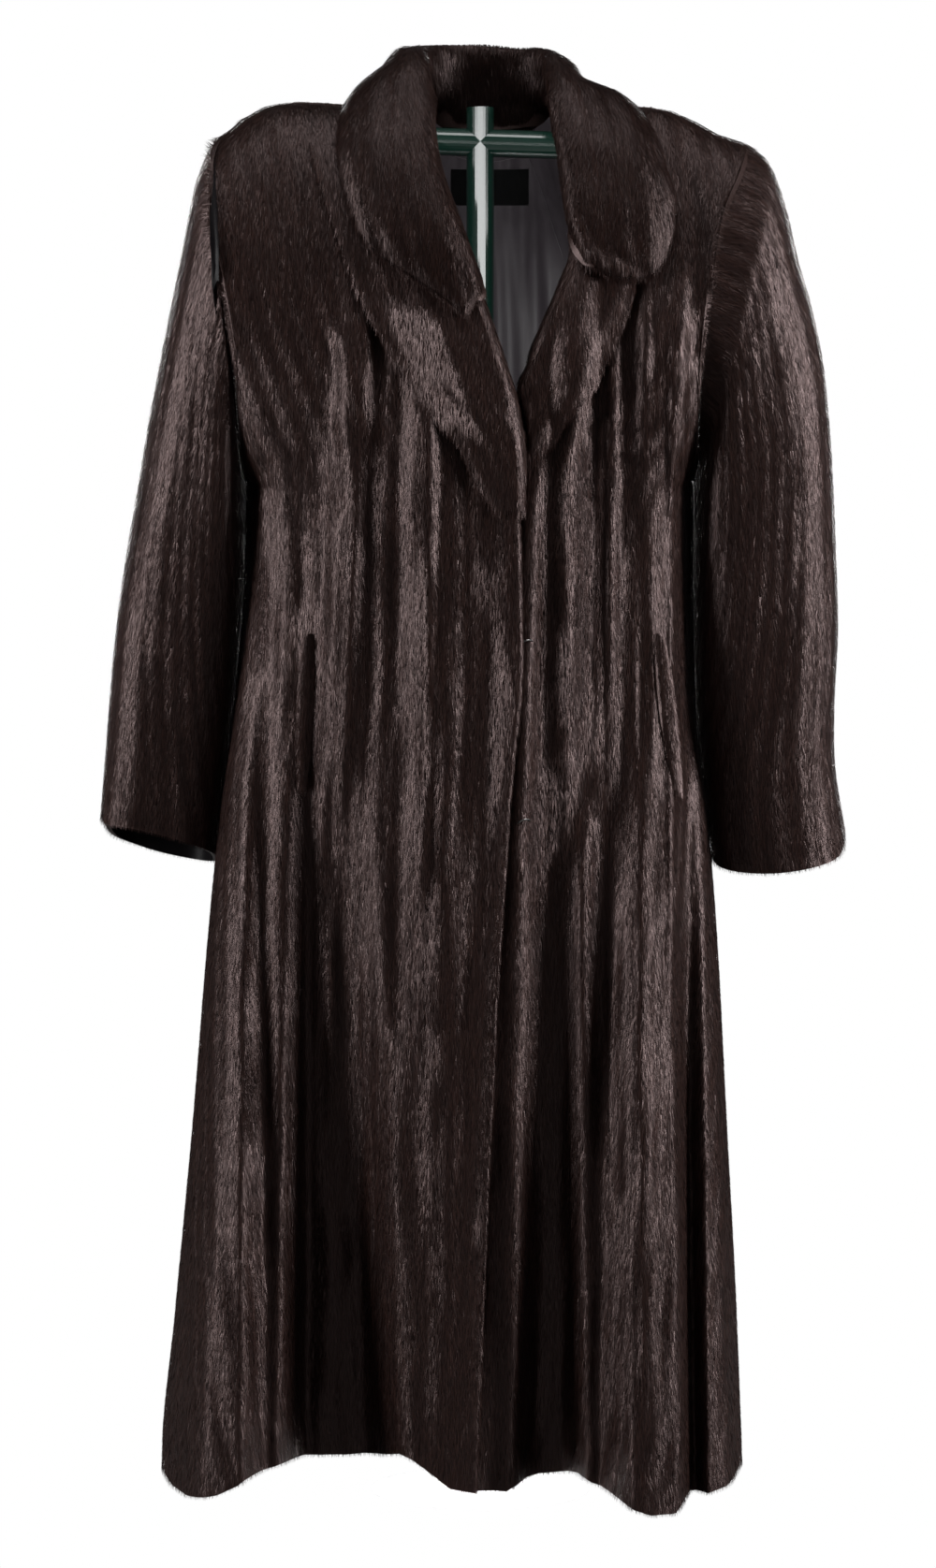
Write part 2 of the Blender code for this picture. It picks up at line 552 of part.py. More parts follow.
# The collar, station by station from its right end round the neck to its left one: the crest of the
# roll, the outer edge of the fall and the way it comes down on the coat (0 from the front, 90 from
# above, 180 from behind), the seam inside the neck, and how full the fall is.
COLLAR = table("x y z x_out y_out z_out down x_seam y_seam z_seam full", [
    (-2, -103, 1078, -14, -106, 1058, 0, 4, -92, 1076, 0),
    (-8, -100, 1098, -36, -104, 1076, 0, 0, -84, 1094, 2),
    (-17, -94, 1124, -68, -98, 1098, 0, -10, -76, 1118, 4),
    (-27, -84, 1151, -98, -90, 1122, 0, -20, -62, 1146, 6),
    (-36, -72, 1179, -114, -80, 1156, 0, -31, -50, 1170, 8),
    (-42, -58, 1206, -123, -66, 1188, 15, -40, -36, 1198, 10),
    (-45, -44, 1234, -127, -45, 1214, 40, -46, -22, 1224, 10),
    (-47, -28, 1264, -124, -22, 1240, 70, -50, -8, 1240, 8),
    (-54, -9, 1294, -111, 4, 1255, 90, -52, 6, 1247, 7),
    (-59, 12, 1309, -104, 34, 1245, 130, -50, 20, 1246, 9),
    (-51, 33, 1312, -95, 60, 1231, 160, -42, 34, 1244, 8),
    (-34, 49, 1317, -66, 80, 1216, 175, -26, 46, 1242, 7),
    (-12, 58, 1320, -28, 86, 1207, 180, -9, 52, 1240, 6),
    (12, 59, 1319, 12, 86, 1206, 180, 12, 52, 1240, 6),
    (35, 51, 1315, 56, 82, 1212, 175, 36, 47, 1241, 7),
    (56, 34, 1311, 92, 66, 1226, 160, 55, 34, 1243, 6),
    (68, 12, 1302, 112, 38, 1238, 130, 64, 18, 1243, 2),
    (69, -10, 1284, 121, 6, 1252, 90, 66, 4, 1242, 0),
    (66, -28, 1259, 146, -24, 1246, 70, 68, -10, 1236, 3),
    (67, -40, 1236, 160, -46, 1221, 45, 70, -22, 1223, 8),
    (71, -52, 1214, 166, -66, 1197, 20, 74, -32, 1204, 10),
    (74, -64, 1188, 172, -78, 1168, 0, 76, -44, 1180, 8),
    (77, -75, 1164, 171, -88, 1138, 0, 78, -54, 1158, 6),
    (80, -84, 1144, 163, -95, 1112, 0, 80, -62, 1138, 4),
    (88, -90, 1126, 148, -100, 1094, 0, 84, -72, 1120, 2),
    (97, -96, 1110, 122, -104, 1092, 0, 92, -84, 1102, 0),
])
COLLAR_STEPS = 9


def path_through(stops, count):
    """Evenly spaced points on a smooth path through a few stops."""
    stops = np.array(stops)
    reach = np.concatenate([[0], np.cumsum(np.linalg.norm(np.diff(stops, axis=0), axis=1))])
    fine = np.linspace(0, reach[-1], 200)
    line = np.stack([curve(fine, reach, stops[:, k]) for k in range(3)], -1)
    length = np.concatenate([[0], np.cumsum(np.linalg.norm(np.diff(line, axis=0), axis=1))])
    even = np.linspace(0, length[-1], count)
    return np.stack([np.interp(even, length, line[:, k]) for k in range(3)], -1)


def come_down(point, angle, trees, gap):
    """A point moved along its way down until it lies a small gap off the first surface."""
    way = np.array([0, math.cos(math.radians(angle)), -math.sin(math.radians(angle))])
    start = point - way * 200
    hits = [tree.ray_cast(start.tolist(), way.tolist(), 300) for tree in trees]
    reached = [distance for place, _, _, distance in hits if place is not None]
    return start + way * (min(reached) - gap) if reached else point


def collar_rings(trees):
    """Closed rings of the collar: each runs up from the neck seam, over the roll and down the fall."""
    c = refine(COLLAR, 2)
    last = len(c["x"]) - 1
    rings = []
    for k in range(last + 1):
        crest = np.array([c["x"][k], c["y"][k], c["z"][k]])
        edge = np.array([c["x_out"][k], c["y_out"][k], c["z_out"][k]])
        edge = come_down(edge, c["down"][k], trees, LAY_GAP + COLLAR_THICK * 0.3)
        seam = np.array([c["x_seam"][k], c["y_seam"][k], c["z_seam"][k]])
        normal = unit(np.cross(edge - crest, seam - crest))
        puff = unit(np.cross(normal, edge - crest))
        if np.dot(puff, crest - seam) < 0:
            puff = -puff
        stops = [seam, seam * 0.45 + crest * 0.55, crest,
                 crest * 0.62 + edge * 0.38 + puff * c["full"][k] * 0.9,
                 crest * 0.3 + edge * 0.7 + puff * c["full"][k] * 0.7, edge]
        line = path_through(stops, COLLAR_STEPS)
        along = unit(np.gradient(line, axis=0))
        side_way = unit(np.cross(normal, along))
        if np.dot(side_way[-3], puff) < 0:
            side_way = -side_way
        t = np.linspace(0, 1, COLLAR_STEPS)
        half = COLLAR_THICK / 2 * np.minimum(1, np.sqrt(np.clip(1 - (2 * t - 1) ** 6, 0.05, 1)))
        half = half * (0.55 + 0.45 * smooth(t / 0.45)) * (0.5 + 0.5 * smooth(min(k, last - k) / 7))
        upper = line + side_way * half[:, None]
        lower = line - side_way * half[:, None]
        rings.append(np.concatenate([upper, lower[::-1]]))
    return np.array(rings)


def surface(grid):
    """Vertices and faces of a grid of points."""
    rows, columns = grid.shape[:2]
    points = grid.reshape(-1, 3)
    faces = []
    for k in (i * columns + j for i in range(rows - 1) for j in range(columns - 1)):
        faces += halves(points, [k, k + 1, k + columns + 1, k + columns])
    return points, faces


def search_tree(*grids):
    """A search tree of the surfaces through some grids, turned away from the middle of the body."""
    vertices, faces = [], []
    for points, own_faces in map(surface, grids):
        corners = np.array(own_faces)
        a, b, c = (points[corners[:, k]] - BODY_MIDDLE for k in range(3))
        turn = 1 if np.sum(a * np.cross(b, c)) > 0 else -1
        faces += [tuple(np.array(face) + len(vertices))[::turn] for face in own_faces]
        vertices += points.tolist()
    return BVHTree.FromPolygons(vertices, faces)


def step_clear(points, tree, gap, reach=24.0):
    """The steps that take points in or too near a surface to a small gap outside it."""
    flat = points.reshape(-1, 3)
    steps = np.zeros_like(flat)
    for k, point in enumerate(flat):
        place, normal, _, distance = tree.find_nearest(point.tolist(), reach)
        if place is None:
            continue
        place, normal = np.array(place), np.array(normal)
        rise = np.dot(point - place, normal)
        past_edge = abs(rise) < 0.7 * distance
        if rise < gap and not past_edge:
            steps[k] = place + normal * gap - point
    return steps.reshape(points.shape)


def push_clear(points, trees, gap):
    """Moves a grid of points, and the middles of its meshes' sides, off the surfaces that it lies on."""
    moved = points.copy()
    for tree in list(trees) * 4:
        moved += step_clear(moved, tree, gap)
        for before, after in ((np.s_[:-1], np.s_[1:]), (np.s_[:, :-1], np.s_[:, 1:])):
            step = step_clear((moved[before] + moved[after]) / 2, tree, gap)
            moved[before] += step * 0.6
            moved[after] += step * 0.6
    return moved


LINING = table("row half_width", [
    (890, 92), (950, 92), (1005, 90), (1050, 88), (1092, 84), (1128, 78), (1158, 70), (1184, 62),
    (1208, 54), (1232, 46)])
LINING_STEPS = 9
LINING_GAP = 2.6        # between the back's wall and the lining at its neck
LINING_FOLD = 1.6


def lining_grid():
    """The lining of the back's upper middle, just inside the back's wall, in soft upright folds."""
    rows = LINING["row"]
    grid = np.zeros((len(rows), 2 * LINING_STEPS - 1, 3))
    ways = np.zeros_like(grid)
    fine = np.linspace(0, 0.6, 200)
    for i, row in enumerate(rows):
        for side in (RIGHT, LEFT):
            path, _ = panel_points(side, fine, np.full_like(fine, row), behind=True)
            reach = LINING["half_width"][i] * side
            stops = np.linspace(path[0, 0], reach, LINING_STEPS)
            u = np.interp(side * stops, side * path[:, 0], fine)
            near_rows = np.array([row - 5.0, row, row + 5.0])
            points, plain = panel_points(side, u[None, :], near_rows[:, None], behind=True)
            way = inward(plain, np.array([0, -1.0, -0.1]))[1]
            columns = LINING_STEPS - 1 + side * np.arange(LINING_STEPS)
            grid[i, columns] = points[1]
            ways[i, columns] = way
    fold = LINING_FOLD * (1 + np.sin(grid[..., 0] / 9.0)) * smooth((1200 - rows[:, None]) / 120)
    outer = grid + ways * (WALL + LINING_GAP + fold)[..., None]
    return outer, outer + ways * LINING_THICK


LABEL = {"x": (-27.0, 45.0), "z": (1171.0, 1203.0)}
LABEL_GAP = 0.8
POCKET = {RIGHT: {"top": (-152.0, 776.0), "low": (-160.0, 640.0)},
          LEFT: {"top": (158.0, 776.0), "low": (174.0, 636.0)}}
WELT_WIDTH = 15.0


def label_grid():
    """The neck label, laid on the lining's inner face."""
    _, lining = lining_grid()
    tree = search_tree(lining)
    outer = np.zeros((3, 7, 3))
    ways = np.zeros((3, 7, 3))
    for i, z in enumerate(np.linspace(*LABEL["z"], 3)):
        for j, x in enumerate(np.linspace(*LABEL["x"], 7)):
            outer[i, j], normal, _, _ = tree.ray_cast((x, -20, z), (0, 1, 0))
            ways[i, j] = -np.array(normal)
    outer = outer + ways * LABEL_GAP
    return outer, outer + ways * LABEL_THICK


def welt_rings(side, tree):
    """A pocket welt: a rounded lip along the pocket's slit, raised from the front's own points."""
    (x_top, row_top), (x_low, row_low) = POCKET[side]["top"], POCKET[side]["low"]
    rings = []
    for t in np.linspace(0, 1, 9):
        row = row_top + (row_low - row_top) * t
        x = x_top + (x_low - x_top) * t
        width = WELT_WIDTH * (0.55 + 0.45 * math.sin(math.pi * t))
        u = np.array([front_column_at(side, row, x - width / 2 + width * k / 4) for k in range(5)])
        grid_rows = row + np.array([-6.0, 0.0, 6.0])
        points, _ = panel_points(side, u[None, :], grid_rows[:, None], behind=False)
        ways = inward(points, np.array([0, 1.0, 0]))[1]
        base = points[1] + [0, -SEAM_GAP / 2, 0]
        rise = WELT_THICK * np.array([0.25, 0.85, 1.0, 0.85, 0.25])
        over = base - ways * (LAY_GAP + rise)[:, None]
        under = base - ways * LAY_GAP
        rings.append(np.concatenate([over, under[::-1]]))
    return push_clear(np.array(rings), [tree], LAY_GAP)


HOOKS = {"hook_upper": (40.5, 767.5), "hook_lower": (38.0, 608.5)}
HOOK_WIRE = 0.7         # the wire's radius
HOOK_HALF = 5.5
HOOK_RISE = 5.0


def add_hook(name, x, row, tree, material):
    """A fur hook's eye: a bowed wire that stands on the left front beside the closing edge."""
    u = front_column_at(LEFT, row, x)
    grid_rows = row + np.array([-4.0, 0.0, 4.0])
    points, _ = panel_points(LEFT, np.array([[u - 0.01, u, u + 0.01]]), grid_rows[:, None], behind=False)
    way = inward(points, np.array([0, 1.0, 0]))[1, 1]
    base = np.array(tree.find_nearest(points[1, 1].tolist())[0])
    spline_points = []
    for angle in np.linspace(0, math.pi, 9):
        lift = HOOK_WIRE + SEAM_GAP + HOOK_RISE * math.sin(angle)
        offset = np.array([HOOK_HALF * math.cos(angle), 0, 1.5 * math.cos(angle) + 2.5 * math.sin(angle)])
        spline_points.append(base - way * lift + offset)
    data = bpy.data.curves.new(name, "CURVE")
    data.dimensions = "3D"
    data.bevel_depth = HOOK_WIRE * MM
    data.bevel_resolution = 1
    data.use_fill_caps = True
    spline = data.splines.new("POLY")
    spline.points.add(len(spline_points) - 1)
    for target, point in zip(spline.points, spline_points):
        target.co = (*((point + [0, 0, COAT_ZERO]) * MM), 1)
    return add_object(name, data, material)


def add_stand(material, base_material):
    """The stand: a pole and a crossbar joined as one cross, on a low round base."""
    tilt = Matrix.Rotation(math.atan(BAR_SLOPE) * -1, 4, "Y")
    pole_foot = BASE_THICK + LAY_GAP
    pole_length = POLE_TOP - pole_foot
    solids = {}
    for name, length, place, turn in (
        ("stand_frame", pole_length, (0, 0, pole_foot + pole_length / 2), Matrix.Identity(4)),
        ("crossbar_cutter", 2 * BAR_HALF, (0, 0, BAR_HEIGHT), tilt @ Matrix.Rotation(math.pi / 2, 4, "Y")),
    ):
        mesh = bpy.data.meshes.new(name)
        shape = bmesh.new()
        bmesh.ops.create_cone(shape, cap_ends=True, segments=32, radius1=TUBE_RADIUS * MM,
                              radius2=TUBE_RADIUS * MM, depth=length * MM)
        bmesh.ops.transform(shape, matrix=Matrix.Translation(np.array(place) * MM) @ turn, verts=shape.verts)
        shape.to_mesh(mesh)
        shape.free()
        mesh.shade_smooth()
        mesh.set_sharp_from_angle(angle=math.radians(40))
        solids[name] = mesh
    pole = add_object("stand_frame", solids["stand_frame"], material)
    bar = bpy.data.objects.new("crossbar_cutter", solids["crossbar_cutter"])
    bar.hide_render = True
    bar.display_type = "WIRE"
    bpy.data.collections["cutters"].objects.link(bar)
    join = pole.modifiers.new("join crossbar", "BOOLEAN")
    join.operation = "UNION"
    join.object = bar
    mesh = bpy.data.meshes.new("stand_base")
    shape = bmesh.new()
    bmesh.ops.create_cone(shape, cap_ends=True, segments=64, radius1=BASE_RADIUS * MM,
                          radius2=BASE_TOP_RADIUS * MM, depth=BASE_THICK * MM)
    bmesh.ops.translate(shape, vec=(0, 0, BASE_THICK / 2 * MM), verts=shape.verts)
    shape.to_mesh(mesh)
    shape.free()
    mesh.shade_smooth()
    mesh.set_sharp_from_angle(angle=math.radians(40))
    base = add_object("stand_base", mesh, base_material)
    rounding = base.modifiers.new("rounded rim", "BEVEL")
    rounding.width = 2.5 * MM
    rounding.segments = 2
    rounding.limit_method = "ANGLE"


def main():
    for obj in list(bpy.data.objects):
        bpy.data.objects.remove(obj, do_unlink=True)
    for title in (NAME, "cutters"):
        collection = bpy.data.collections.new(title)
        bpy.context.scene.collection.children.link(collection)
    bpy.data.collections["cutters"].hide_render = True
    fur = make_material("mink_fur", (0.022, 0.011, 0.008), 0.45)
    satin = make_material("satin_lining", (0.045, 0.038, 0.042), 0.35)
    tape = make_material("label_cloth", (0.006, 0.006, 0.008), 0.5)
    wire = make_material("hook_wire", (0.03, 0.028, 0.028), 0.35, 0.9)
    enamel = make_material("green_enamel", (0.012, 0.035, 0.024), 0.18)
    pale = make_material("pale_enamel", (0.72, 0.72, 0.71), 0.35)

    fronts = {RIGHT: front_grid(RIGHT), LEFT: front_grid(LEFT)}
    back = back_grid()
    trees = {side: search_tree(fronts[side][0]) for side in (RIGHT, LEFT)}
    lapels = {side: lapel_rings(side, fronts[side][0], trees[side]) for side in (RIGHT, LEFT)}
    under_collar = [search_tree(fronts[RIGHT][0], fronts[LEFT][0], back[0])]
    under_collar += [search_tree(lapel_top(lapels[side])) for side in (RIGHT, LEFT)]
    collar = push_clear(collar_rings(under_collar), under_collar, COLLAR_GAP)
    for side, wearer in ((RIGHT, "right"), (LEFT, "left")):
        add_mesh(wearer + "_front", *wall(*fronts[side]), fur)
        add_mesh(wearer + "_sleeve", *wall(*sleeve_rings(side), wrap=True), fur)
        add_mesh(wearer + "_lapel", *loops(lapels[side]), fur)
        add_mesh(wearer + "_pocket_welt", *loops(welt_rings(side, trees[side])), fur)
    add_mesh("back", *wall(*back), fur)
    add_mesh("collar", *loops(collar), fur)
    add_mesh("back_lining", *wall(*lining_grid()), satin)
    add_mesh("neck_label", *wall(*label_grid()), tape)
    for name, (x, row) in HOOKS.items():
        add_hook(name, x, row, trees[LEFT], wire)
    add_stand(enamel, pale)


main()
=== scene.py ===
"""The looks of a full-length mink coat on a cross-shaped stand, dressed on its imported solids.

Each pelt is a thin shell just inside its solid's surface, with hair as slivers that reach the surface.
Lengths are millimetres above the coat's zero until a mesh is made, and metres in the row frame after.
"""
import json
import math

import bpy
import numpy as np
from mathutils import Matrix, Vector
from mathutils.bvhtree import BVHTree

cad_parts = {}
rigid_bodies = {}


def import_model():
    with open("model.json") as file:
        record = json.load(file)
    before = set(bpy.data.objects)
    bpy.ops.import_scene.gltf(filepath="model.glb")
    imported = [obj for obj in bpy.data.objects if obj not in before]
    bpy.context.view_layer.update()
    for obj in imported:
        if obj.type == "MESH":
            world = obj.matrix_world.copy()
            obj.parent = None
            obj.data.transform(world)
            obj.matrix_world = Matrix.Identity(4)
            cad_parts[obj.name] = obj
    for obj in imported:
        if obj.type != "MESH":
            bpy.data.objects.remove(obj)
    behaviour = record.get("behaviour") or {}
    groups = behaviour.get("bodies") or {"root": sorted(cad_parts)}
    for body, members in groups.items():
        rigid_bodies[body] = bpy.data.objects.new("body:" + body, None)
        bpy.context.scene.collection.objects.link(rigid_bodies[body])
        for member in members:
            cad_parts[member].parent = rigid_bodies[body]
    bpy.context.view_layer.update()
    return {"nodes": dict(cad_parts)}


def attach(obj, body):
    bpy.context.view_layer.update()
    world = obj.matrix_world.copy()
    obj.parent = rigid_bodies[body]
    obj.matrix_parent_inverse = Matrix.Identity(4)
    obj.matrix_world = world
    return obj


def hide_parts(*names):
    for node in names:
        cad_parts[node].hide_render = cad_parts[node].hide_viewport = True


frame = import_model()

MM = 0.001

# Driving dimensions, in millimetres.
WALL = 9.0              # pelt with its pile and lining
SEAM_GAP = 0.4          # between pieces sewn together
LAY_GAP = 0.9           # between a piece and the panel that it lies on
ARMPIT_ROW = 915.0      # row height of the armholes' lowest points
RIDGE_ROW = 1262.0      # row height of the shoulder seams
COLLAR_THICK = 17.0
COLLAR_GAP = 1.5        # between the collar and what it lies on
LINING_THICK = 2.0
WELT_THICK = 4.0
CUFF_ROUND = 12.0       # how far the cuffs' outer corners are rounded off
COAT_ZERO = 3.0         # the zero of the coat's tables lies this far above the floor

RIGHT, LEFT = -1, 1     # the wearer's sides, as the sign of X


def table(names, rows):
    """A table as one array for each named column."""
    return dict(zip(names.split(), np.array(rows, float).T))


def curve(x, xs, ys):
    """A smooth curve through the rows of a table, with no overshoot between them."""
    step = np.diff(xs)
    slope = np.diff(ys) / step
    product = slope[:-1] * slope[1:]
    total = slope[:-1] + slope[1:]
    tangent = np.concatenate(([slope[0]], np.zeros(len(xs) - 2), [slope[-1]]))
    rising = product > 0
    tangent[1:-1][rising] = 2 * product[rising] / total[rising]
    i = np.clip(np.searchsorted(xs, x, side="right") - 1, 0, len(xs) - 2)
    t = np.clip((x - xs[i]) / step[i], 0, 1)
    start = (1 + 2 * t) * (1 - t) ** 2 * ys[i] + t * (1 - t) ** 2 * step[i] * tangent[i]
    end = t * t * (3 - 2 * t) * ys[i + 1] + t * t * (t - 1) * step[i] * tangent[i + 1]
    return start + end


def refine(rows, steps):
    """A table with steps times as many rows, on smooth curves through its own ones."""
    stops = np.arange(len(next(iter(rows.values()))))
    fine = np.linspace(0, stops[-1], stops[-1] * steps + 1)
    return {name: curve(fine, stops, values) for name, values in rows.items()}


def at(rows, key, value, *names):
    """The named columns of a table at a value of its key column."""
    found = [curve(value, rows[key], rows[name]) for name in names]
    return found if len(found) > 1 else found[0]


def smooth(t):
    t = np.clip(t, 0, 1)
    return t * t * (3 - 2 * t)


def unit(v):
    return v / np.maximum(np.linalg.norm(v, axis=-1, keepdims=True), 1e-9)


# The fronts' free edges, from the hem up the closing, the V of the neck and the neck seam.
EDGE = {
    RIGHT: table("row x y z", [
        (0, -4, -126, 28), (185, 2, -122, 185), (350, 10, -117, 350), (515, 18, -112, 515),
        (655, 27, -108, 655), (770, 35, -106, 770), (900, 33, -107, 900), (966, 29, -106, 964),
        (995, 21, -103, 993), (1030, 9, -98, 1030), (1080, -8, -88, 1080), (1120, -24, -78, 1120),
        (1155, -38, -66, 1155), (1190, -50, -52, 1188), (1222, -57, -36, 1218),
        (1245, -60, -18, 1244), (1262, -62, 0, 1258)]),
    LEFT: table("row x y z", [
        (0, -62, -113, 28), (185, -56, -109, 185), (350, -48, -104, 350), (515, -40, -99, 515),
        (655, -31, -95, 655), (770, -23, -93, 770), (880, -22, -94, 880), (930, -10, -94, 930),
        (966, 12, -93, 966), (990, 32, -92, 990), (1015, 47, -90, 1015), (1045, 61, -86, 1045),
        (1080, 76, -79, 1080), (1110, 88, -71, 1110), (1140, 92, -62, 1140),
        (1170, 88, -50, 1170), (1200, 83, -38, 1198), (1230, 79, -22, 1230),
        (1250, 77, -10, 1246), (1262, 75, 0, 1252)]),
}
# The middle of the back, from the hem to the neck seam.
SPINE = table("row x y z", [
    (0, -22, 158, 24), (185, -20, 148, 185), (350, -17, 138, 350), (515, -13, 126, 515),
    (655, -9, 115, 655), (770, -7, 106, 770), (900, -5, 102, 900), (1000, -2, 100, 1000),
    (1080, 1, 96, 1080), (1140, 3, 88, 1135), (1190, 5, 76, 1178), (1230, 6, 65, 1212),
    (1262, 6, 58, 1232)])
# The side seams, from the hem to the armpits.
SIDE = {
    RIGHT: table("row x y", [
        (0, -289, 0), (43, -288, 0), (162, -277, 2), (332, -261, 3), (502, -247, 4),
        (613, -236, 4), (715, -223, 4), (842, -213, 4), (915, -212, 4)]),
    LEFT: table("row x y", [
        (0, 238, 0), (43, 237, 0), (162, 233, 2), (332, 224, 3), (502, 215, 4),
        (613, 206, 4), (715, 195, 4), (842, 193, 4), (915, 193, 4)]),
}
# The armholes: the angle runs from the shoulder down the front to the armpit.
ARMHOLE = {
    RIGHT: table("angle x", [(0, -232), (35, -243), (60, -243), (90, -230), (120, -219), (180, -212)]),
    LEFT: table("angle x", [(0, 246), (35, 232), (60, 213), (90, 203), (120, 197), (180, 193)]),
}
SHOULDER = {RIGHT: 1227.0, LEFT: 1217.0}
ARMHOLE_DEPTH = 79.0
# The shoulder seams' heights.
RIDGE = {
    RIGHT: table("x z", [
        (-260, 1176), (-245, 1212), (-232, 1227), (-214, 1243), (-194, 1254), (-184, 1256.4),
        (-164, 1259), (-143, 1258), (-123, 1256.4), (-62, 1258)]),
    LEFT: table("x z", [
        (75, 1252), (132, 1255), (153, 1254), (173, 1250), (193, 1241), (214, 1229),
        (234, 1222), (246, 1216), (260, 1202)]),
}
BODY_MIDDLE = np.array([-8.0, 0.0, 700.0])
# How full a section is: 2 is an ellipse, more is squarer.
FULLNESS = table("row front back", [
    (0, 3.4, 2.8), (350, 3.0, 2.6), (700, 2.7, 2.5), (915, 2.6, 2.5), (1262, 2.4, 2.4)])

# Folds of the hanging pelts: where the crest or trough lies across the coat at the chest, hip
# and hem, its half width at the waist and hem, its two flanks, and its height at four levels.
FOLD_COLUMNS = "x_chest x_hip x_hem half_waist half_hem flank_low flank_high chest waist hip hem"
FOLDS_FRONT = table(FOLD_COLUMNS, [
    (-205, -226, -236, 30, 50, 44, 26, 0, 5, 20, 42),      # lobe at the right side
    (-150, -130, -121, 40, 62, 30, 44, 0, -5, -26, -60),   # wide trough beside it
    (-40, -36, -34, 34, 34, 30, 30, 2, 7, 8, 3),           # ridge behind the closing edge
    (78, 62, 62, 26, 36, 26, 26, 0, -8, -15, -38),         # trough right of the edge
    (83, 66, 50, 22, 22, 22, 18, 8, 12, 3, 0),             # ridge over the hooks' side
    (160, 146, 148, 34, 46, 34, 18, 9, 12, 22, 54),        # lobe under the left pocket
    (206, 205, 211, 18, 26, 18, 18, 0, 4, 14, 34),         # lobe at the left side
])
FOLDS_BACK = table(FOLD_COLUMNS, [
    (-180, -196, -212, 30, 42, 36, 30, 0, 4, 16, 34),
    (-120, -130, -140, 30, 42, 34, 34, 0, -3, -14, -34),
    (-60, -68, -74, 30, 40, 36, 34, 0, 3, 12, 26),
    (0, -6, -10, 28, 36, 32, 32, 0, -3, -12, -26),
    (62, 56, 54, 28, 36, 32, 32, 0, 3, 12, 28),
    (118, 114, 116, 26, 34, 30, 30, 0, -3, -13, -30),
    (160, 168, 176, 26, 36, 30, 30, 0, 4, 15, 32),
])
FOLD_LEVELS = {"chest": 1010.0, "waist": 740.0, "hip": 500.0, "hem": 20.0}
# The hem's height across the front and the back.
HEM_FRONT = table("x z", [
    (-289, 21), (-278, 13), (-262, 11), (-235, 17), (-205, 32), (-178, 39), (-120, 39), (-90, 42),
    (-70, 50), (-55, 43), (-38, 28), (-21, 16), (5, 16), (24, 15), (45, 23), (69, 25), (84, 28),
    (105, 20), (130, 8), (150, 2), (172, 2), (187, 14), (202, 14), (225, 19), (238, 25)])
HEM_BACK = table("x z", [(-289, 21), (-210, 16), (-140, 27), (-70, 18), (-8, 27), (56, 17), (116, 27),
                         (176, 15), (238, 25)])
HEM_REACH = 160.0       # how far up the hem's waves are felt

EASED_REACH = 130.0     # how far from the armpits the panels' rows are eased

ROWS = np.array([0, 28, 105, 215, 335, 455, 570, 680, 780, 860, ARMPIT_ROW,
                 950, 990, 1030, 1070, 1110, 1145, 1178, 1207, 1232, 1250, RIDGE_ROW])
FRONT_COLUMNS = 25
BACK_COLUMNS = 18       # in each half


def folds(rows, x, z):
    """How far the folds stand out from the body at x and z."""
    levels = sorted(FOLD_LEVELS.values())
    names = sorted(FOLD_LEVELS, key=FOLD_LEVELS.get)
    total = np.zeros(np.broadcast(x, z).shape)
    low = np.clip((FOLD_LEVELS["waist"] - z) / (FOLD_LEVELS["waist"] - FOLD_LEVELS["hem"]), 0, 1)
    for k in range(len(rows["chest"])):
        heights = np.array([rows[name][k] for name in names])
        place = np.array([rows["x_hem"][k], rows["x_hip"][k], rows["x_chest"][k]])
        middle = np.interp(z, [FOLD_LEVELS["hem"], FOLD_LEVELS["hip"], FOLD_LEVELS["chest"]], place)
        half = rows["half_waist"][k] + (rows["half_hem"][k] - rows["half_waist"][k]) * low
        below = smooth((x - (middle - half)) / rows["flank_low"][k])
        above = smooth((middle + half - x) / rows["flank_high"][k])
        fade = smooth((1130.0 - z) / 120.0)
        total = total + np.interp(z, levels, heights) * below * above * fade
    return total


def armhole(side, angle):
    """A point of the armhole: 0 at the shoulder, 90 in front, 180 at the armpit, 270 behind."""
    top, low = SHOULDER[side], ARMPIT_ROW
    rad = np.radians(angle)
    fold_angle = np.where(angle > 180, 360 - angle, angle)
    x = curve(fold_angle, ARMHOLE[side]["angle"], ARMHOLE[side]["x"])
    y = -ARMHOLE_DEPTH * np.sin(rad) + 4.0 * (1 - np.cos(rad)) / 2
    z = (top + low) / 2 + (top - low) / 2 * np.cos(rad)
    return np.stack([x, y, z], -1)


def armhole_inward(side, angle):
    """The way through the wall at an armhole: to the hole's middle, and into the body at the armpit."""
    rad = np.radians(angle)
    into_body = 0.9 * smooth((np.abs(np.sin(rad / 2)) - 0.72) / 0.28)
    return unit(np.stack([-side * into_body, np.sin(rad), -np.cos(rad)], -1))


def row_angle(row):
    return 180.0 * (1 - (row - ARMPIT_ROW) / (RIDGE_ROW - ARMPIT_ROW))


def side_points(side, row, behind):
    """The panels' outer columns: the side seam, and the armhole's front or back half above it."""
    seam = np.stack([*at(SIDE[side], "row", np.minimum(row, ARMPIT_ROW), "x", "y"), row], -1)
    angle = row_angle(np.maximum(row, ARMPIT_ROW))
    hole = armhole(side, 360 - angle if behind else angle)
    return np.where((row > ARMPIT_ROW)[..., None], hole, seam)


def eased_side_points(side, row, behind):
    """The outer columns with the armpit's corner eased, as the rest of the panel follows them."""
    steps = np.array([-70.0, -35.0, 0.0, 35.0, 70.0])
    shares = np.array([1, 2, 3, 2, 1]) / 9
    eased = sum(share * side_points(side, np.clip(row + step, 0, RIDGE_ROW), behind)
                for step, share in zip(steps, shares))
    near = np.exp(-(((row - ARMPIT_ROW) / EASED_REACH) ** 2))[..., None]
    return side_points(side, row, behind) * (1 - near) + eased * near


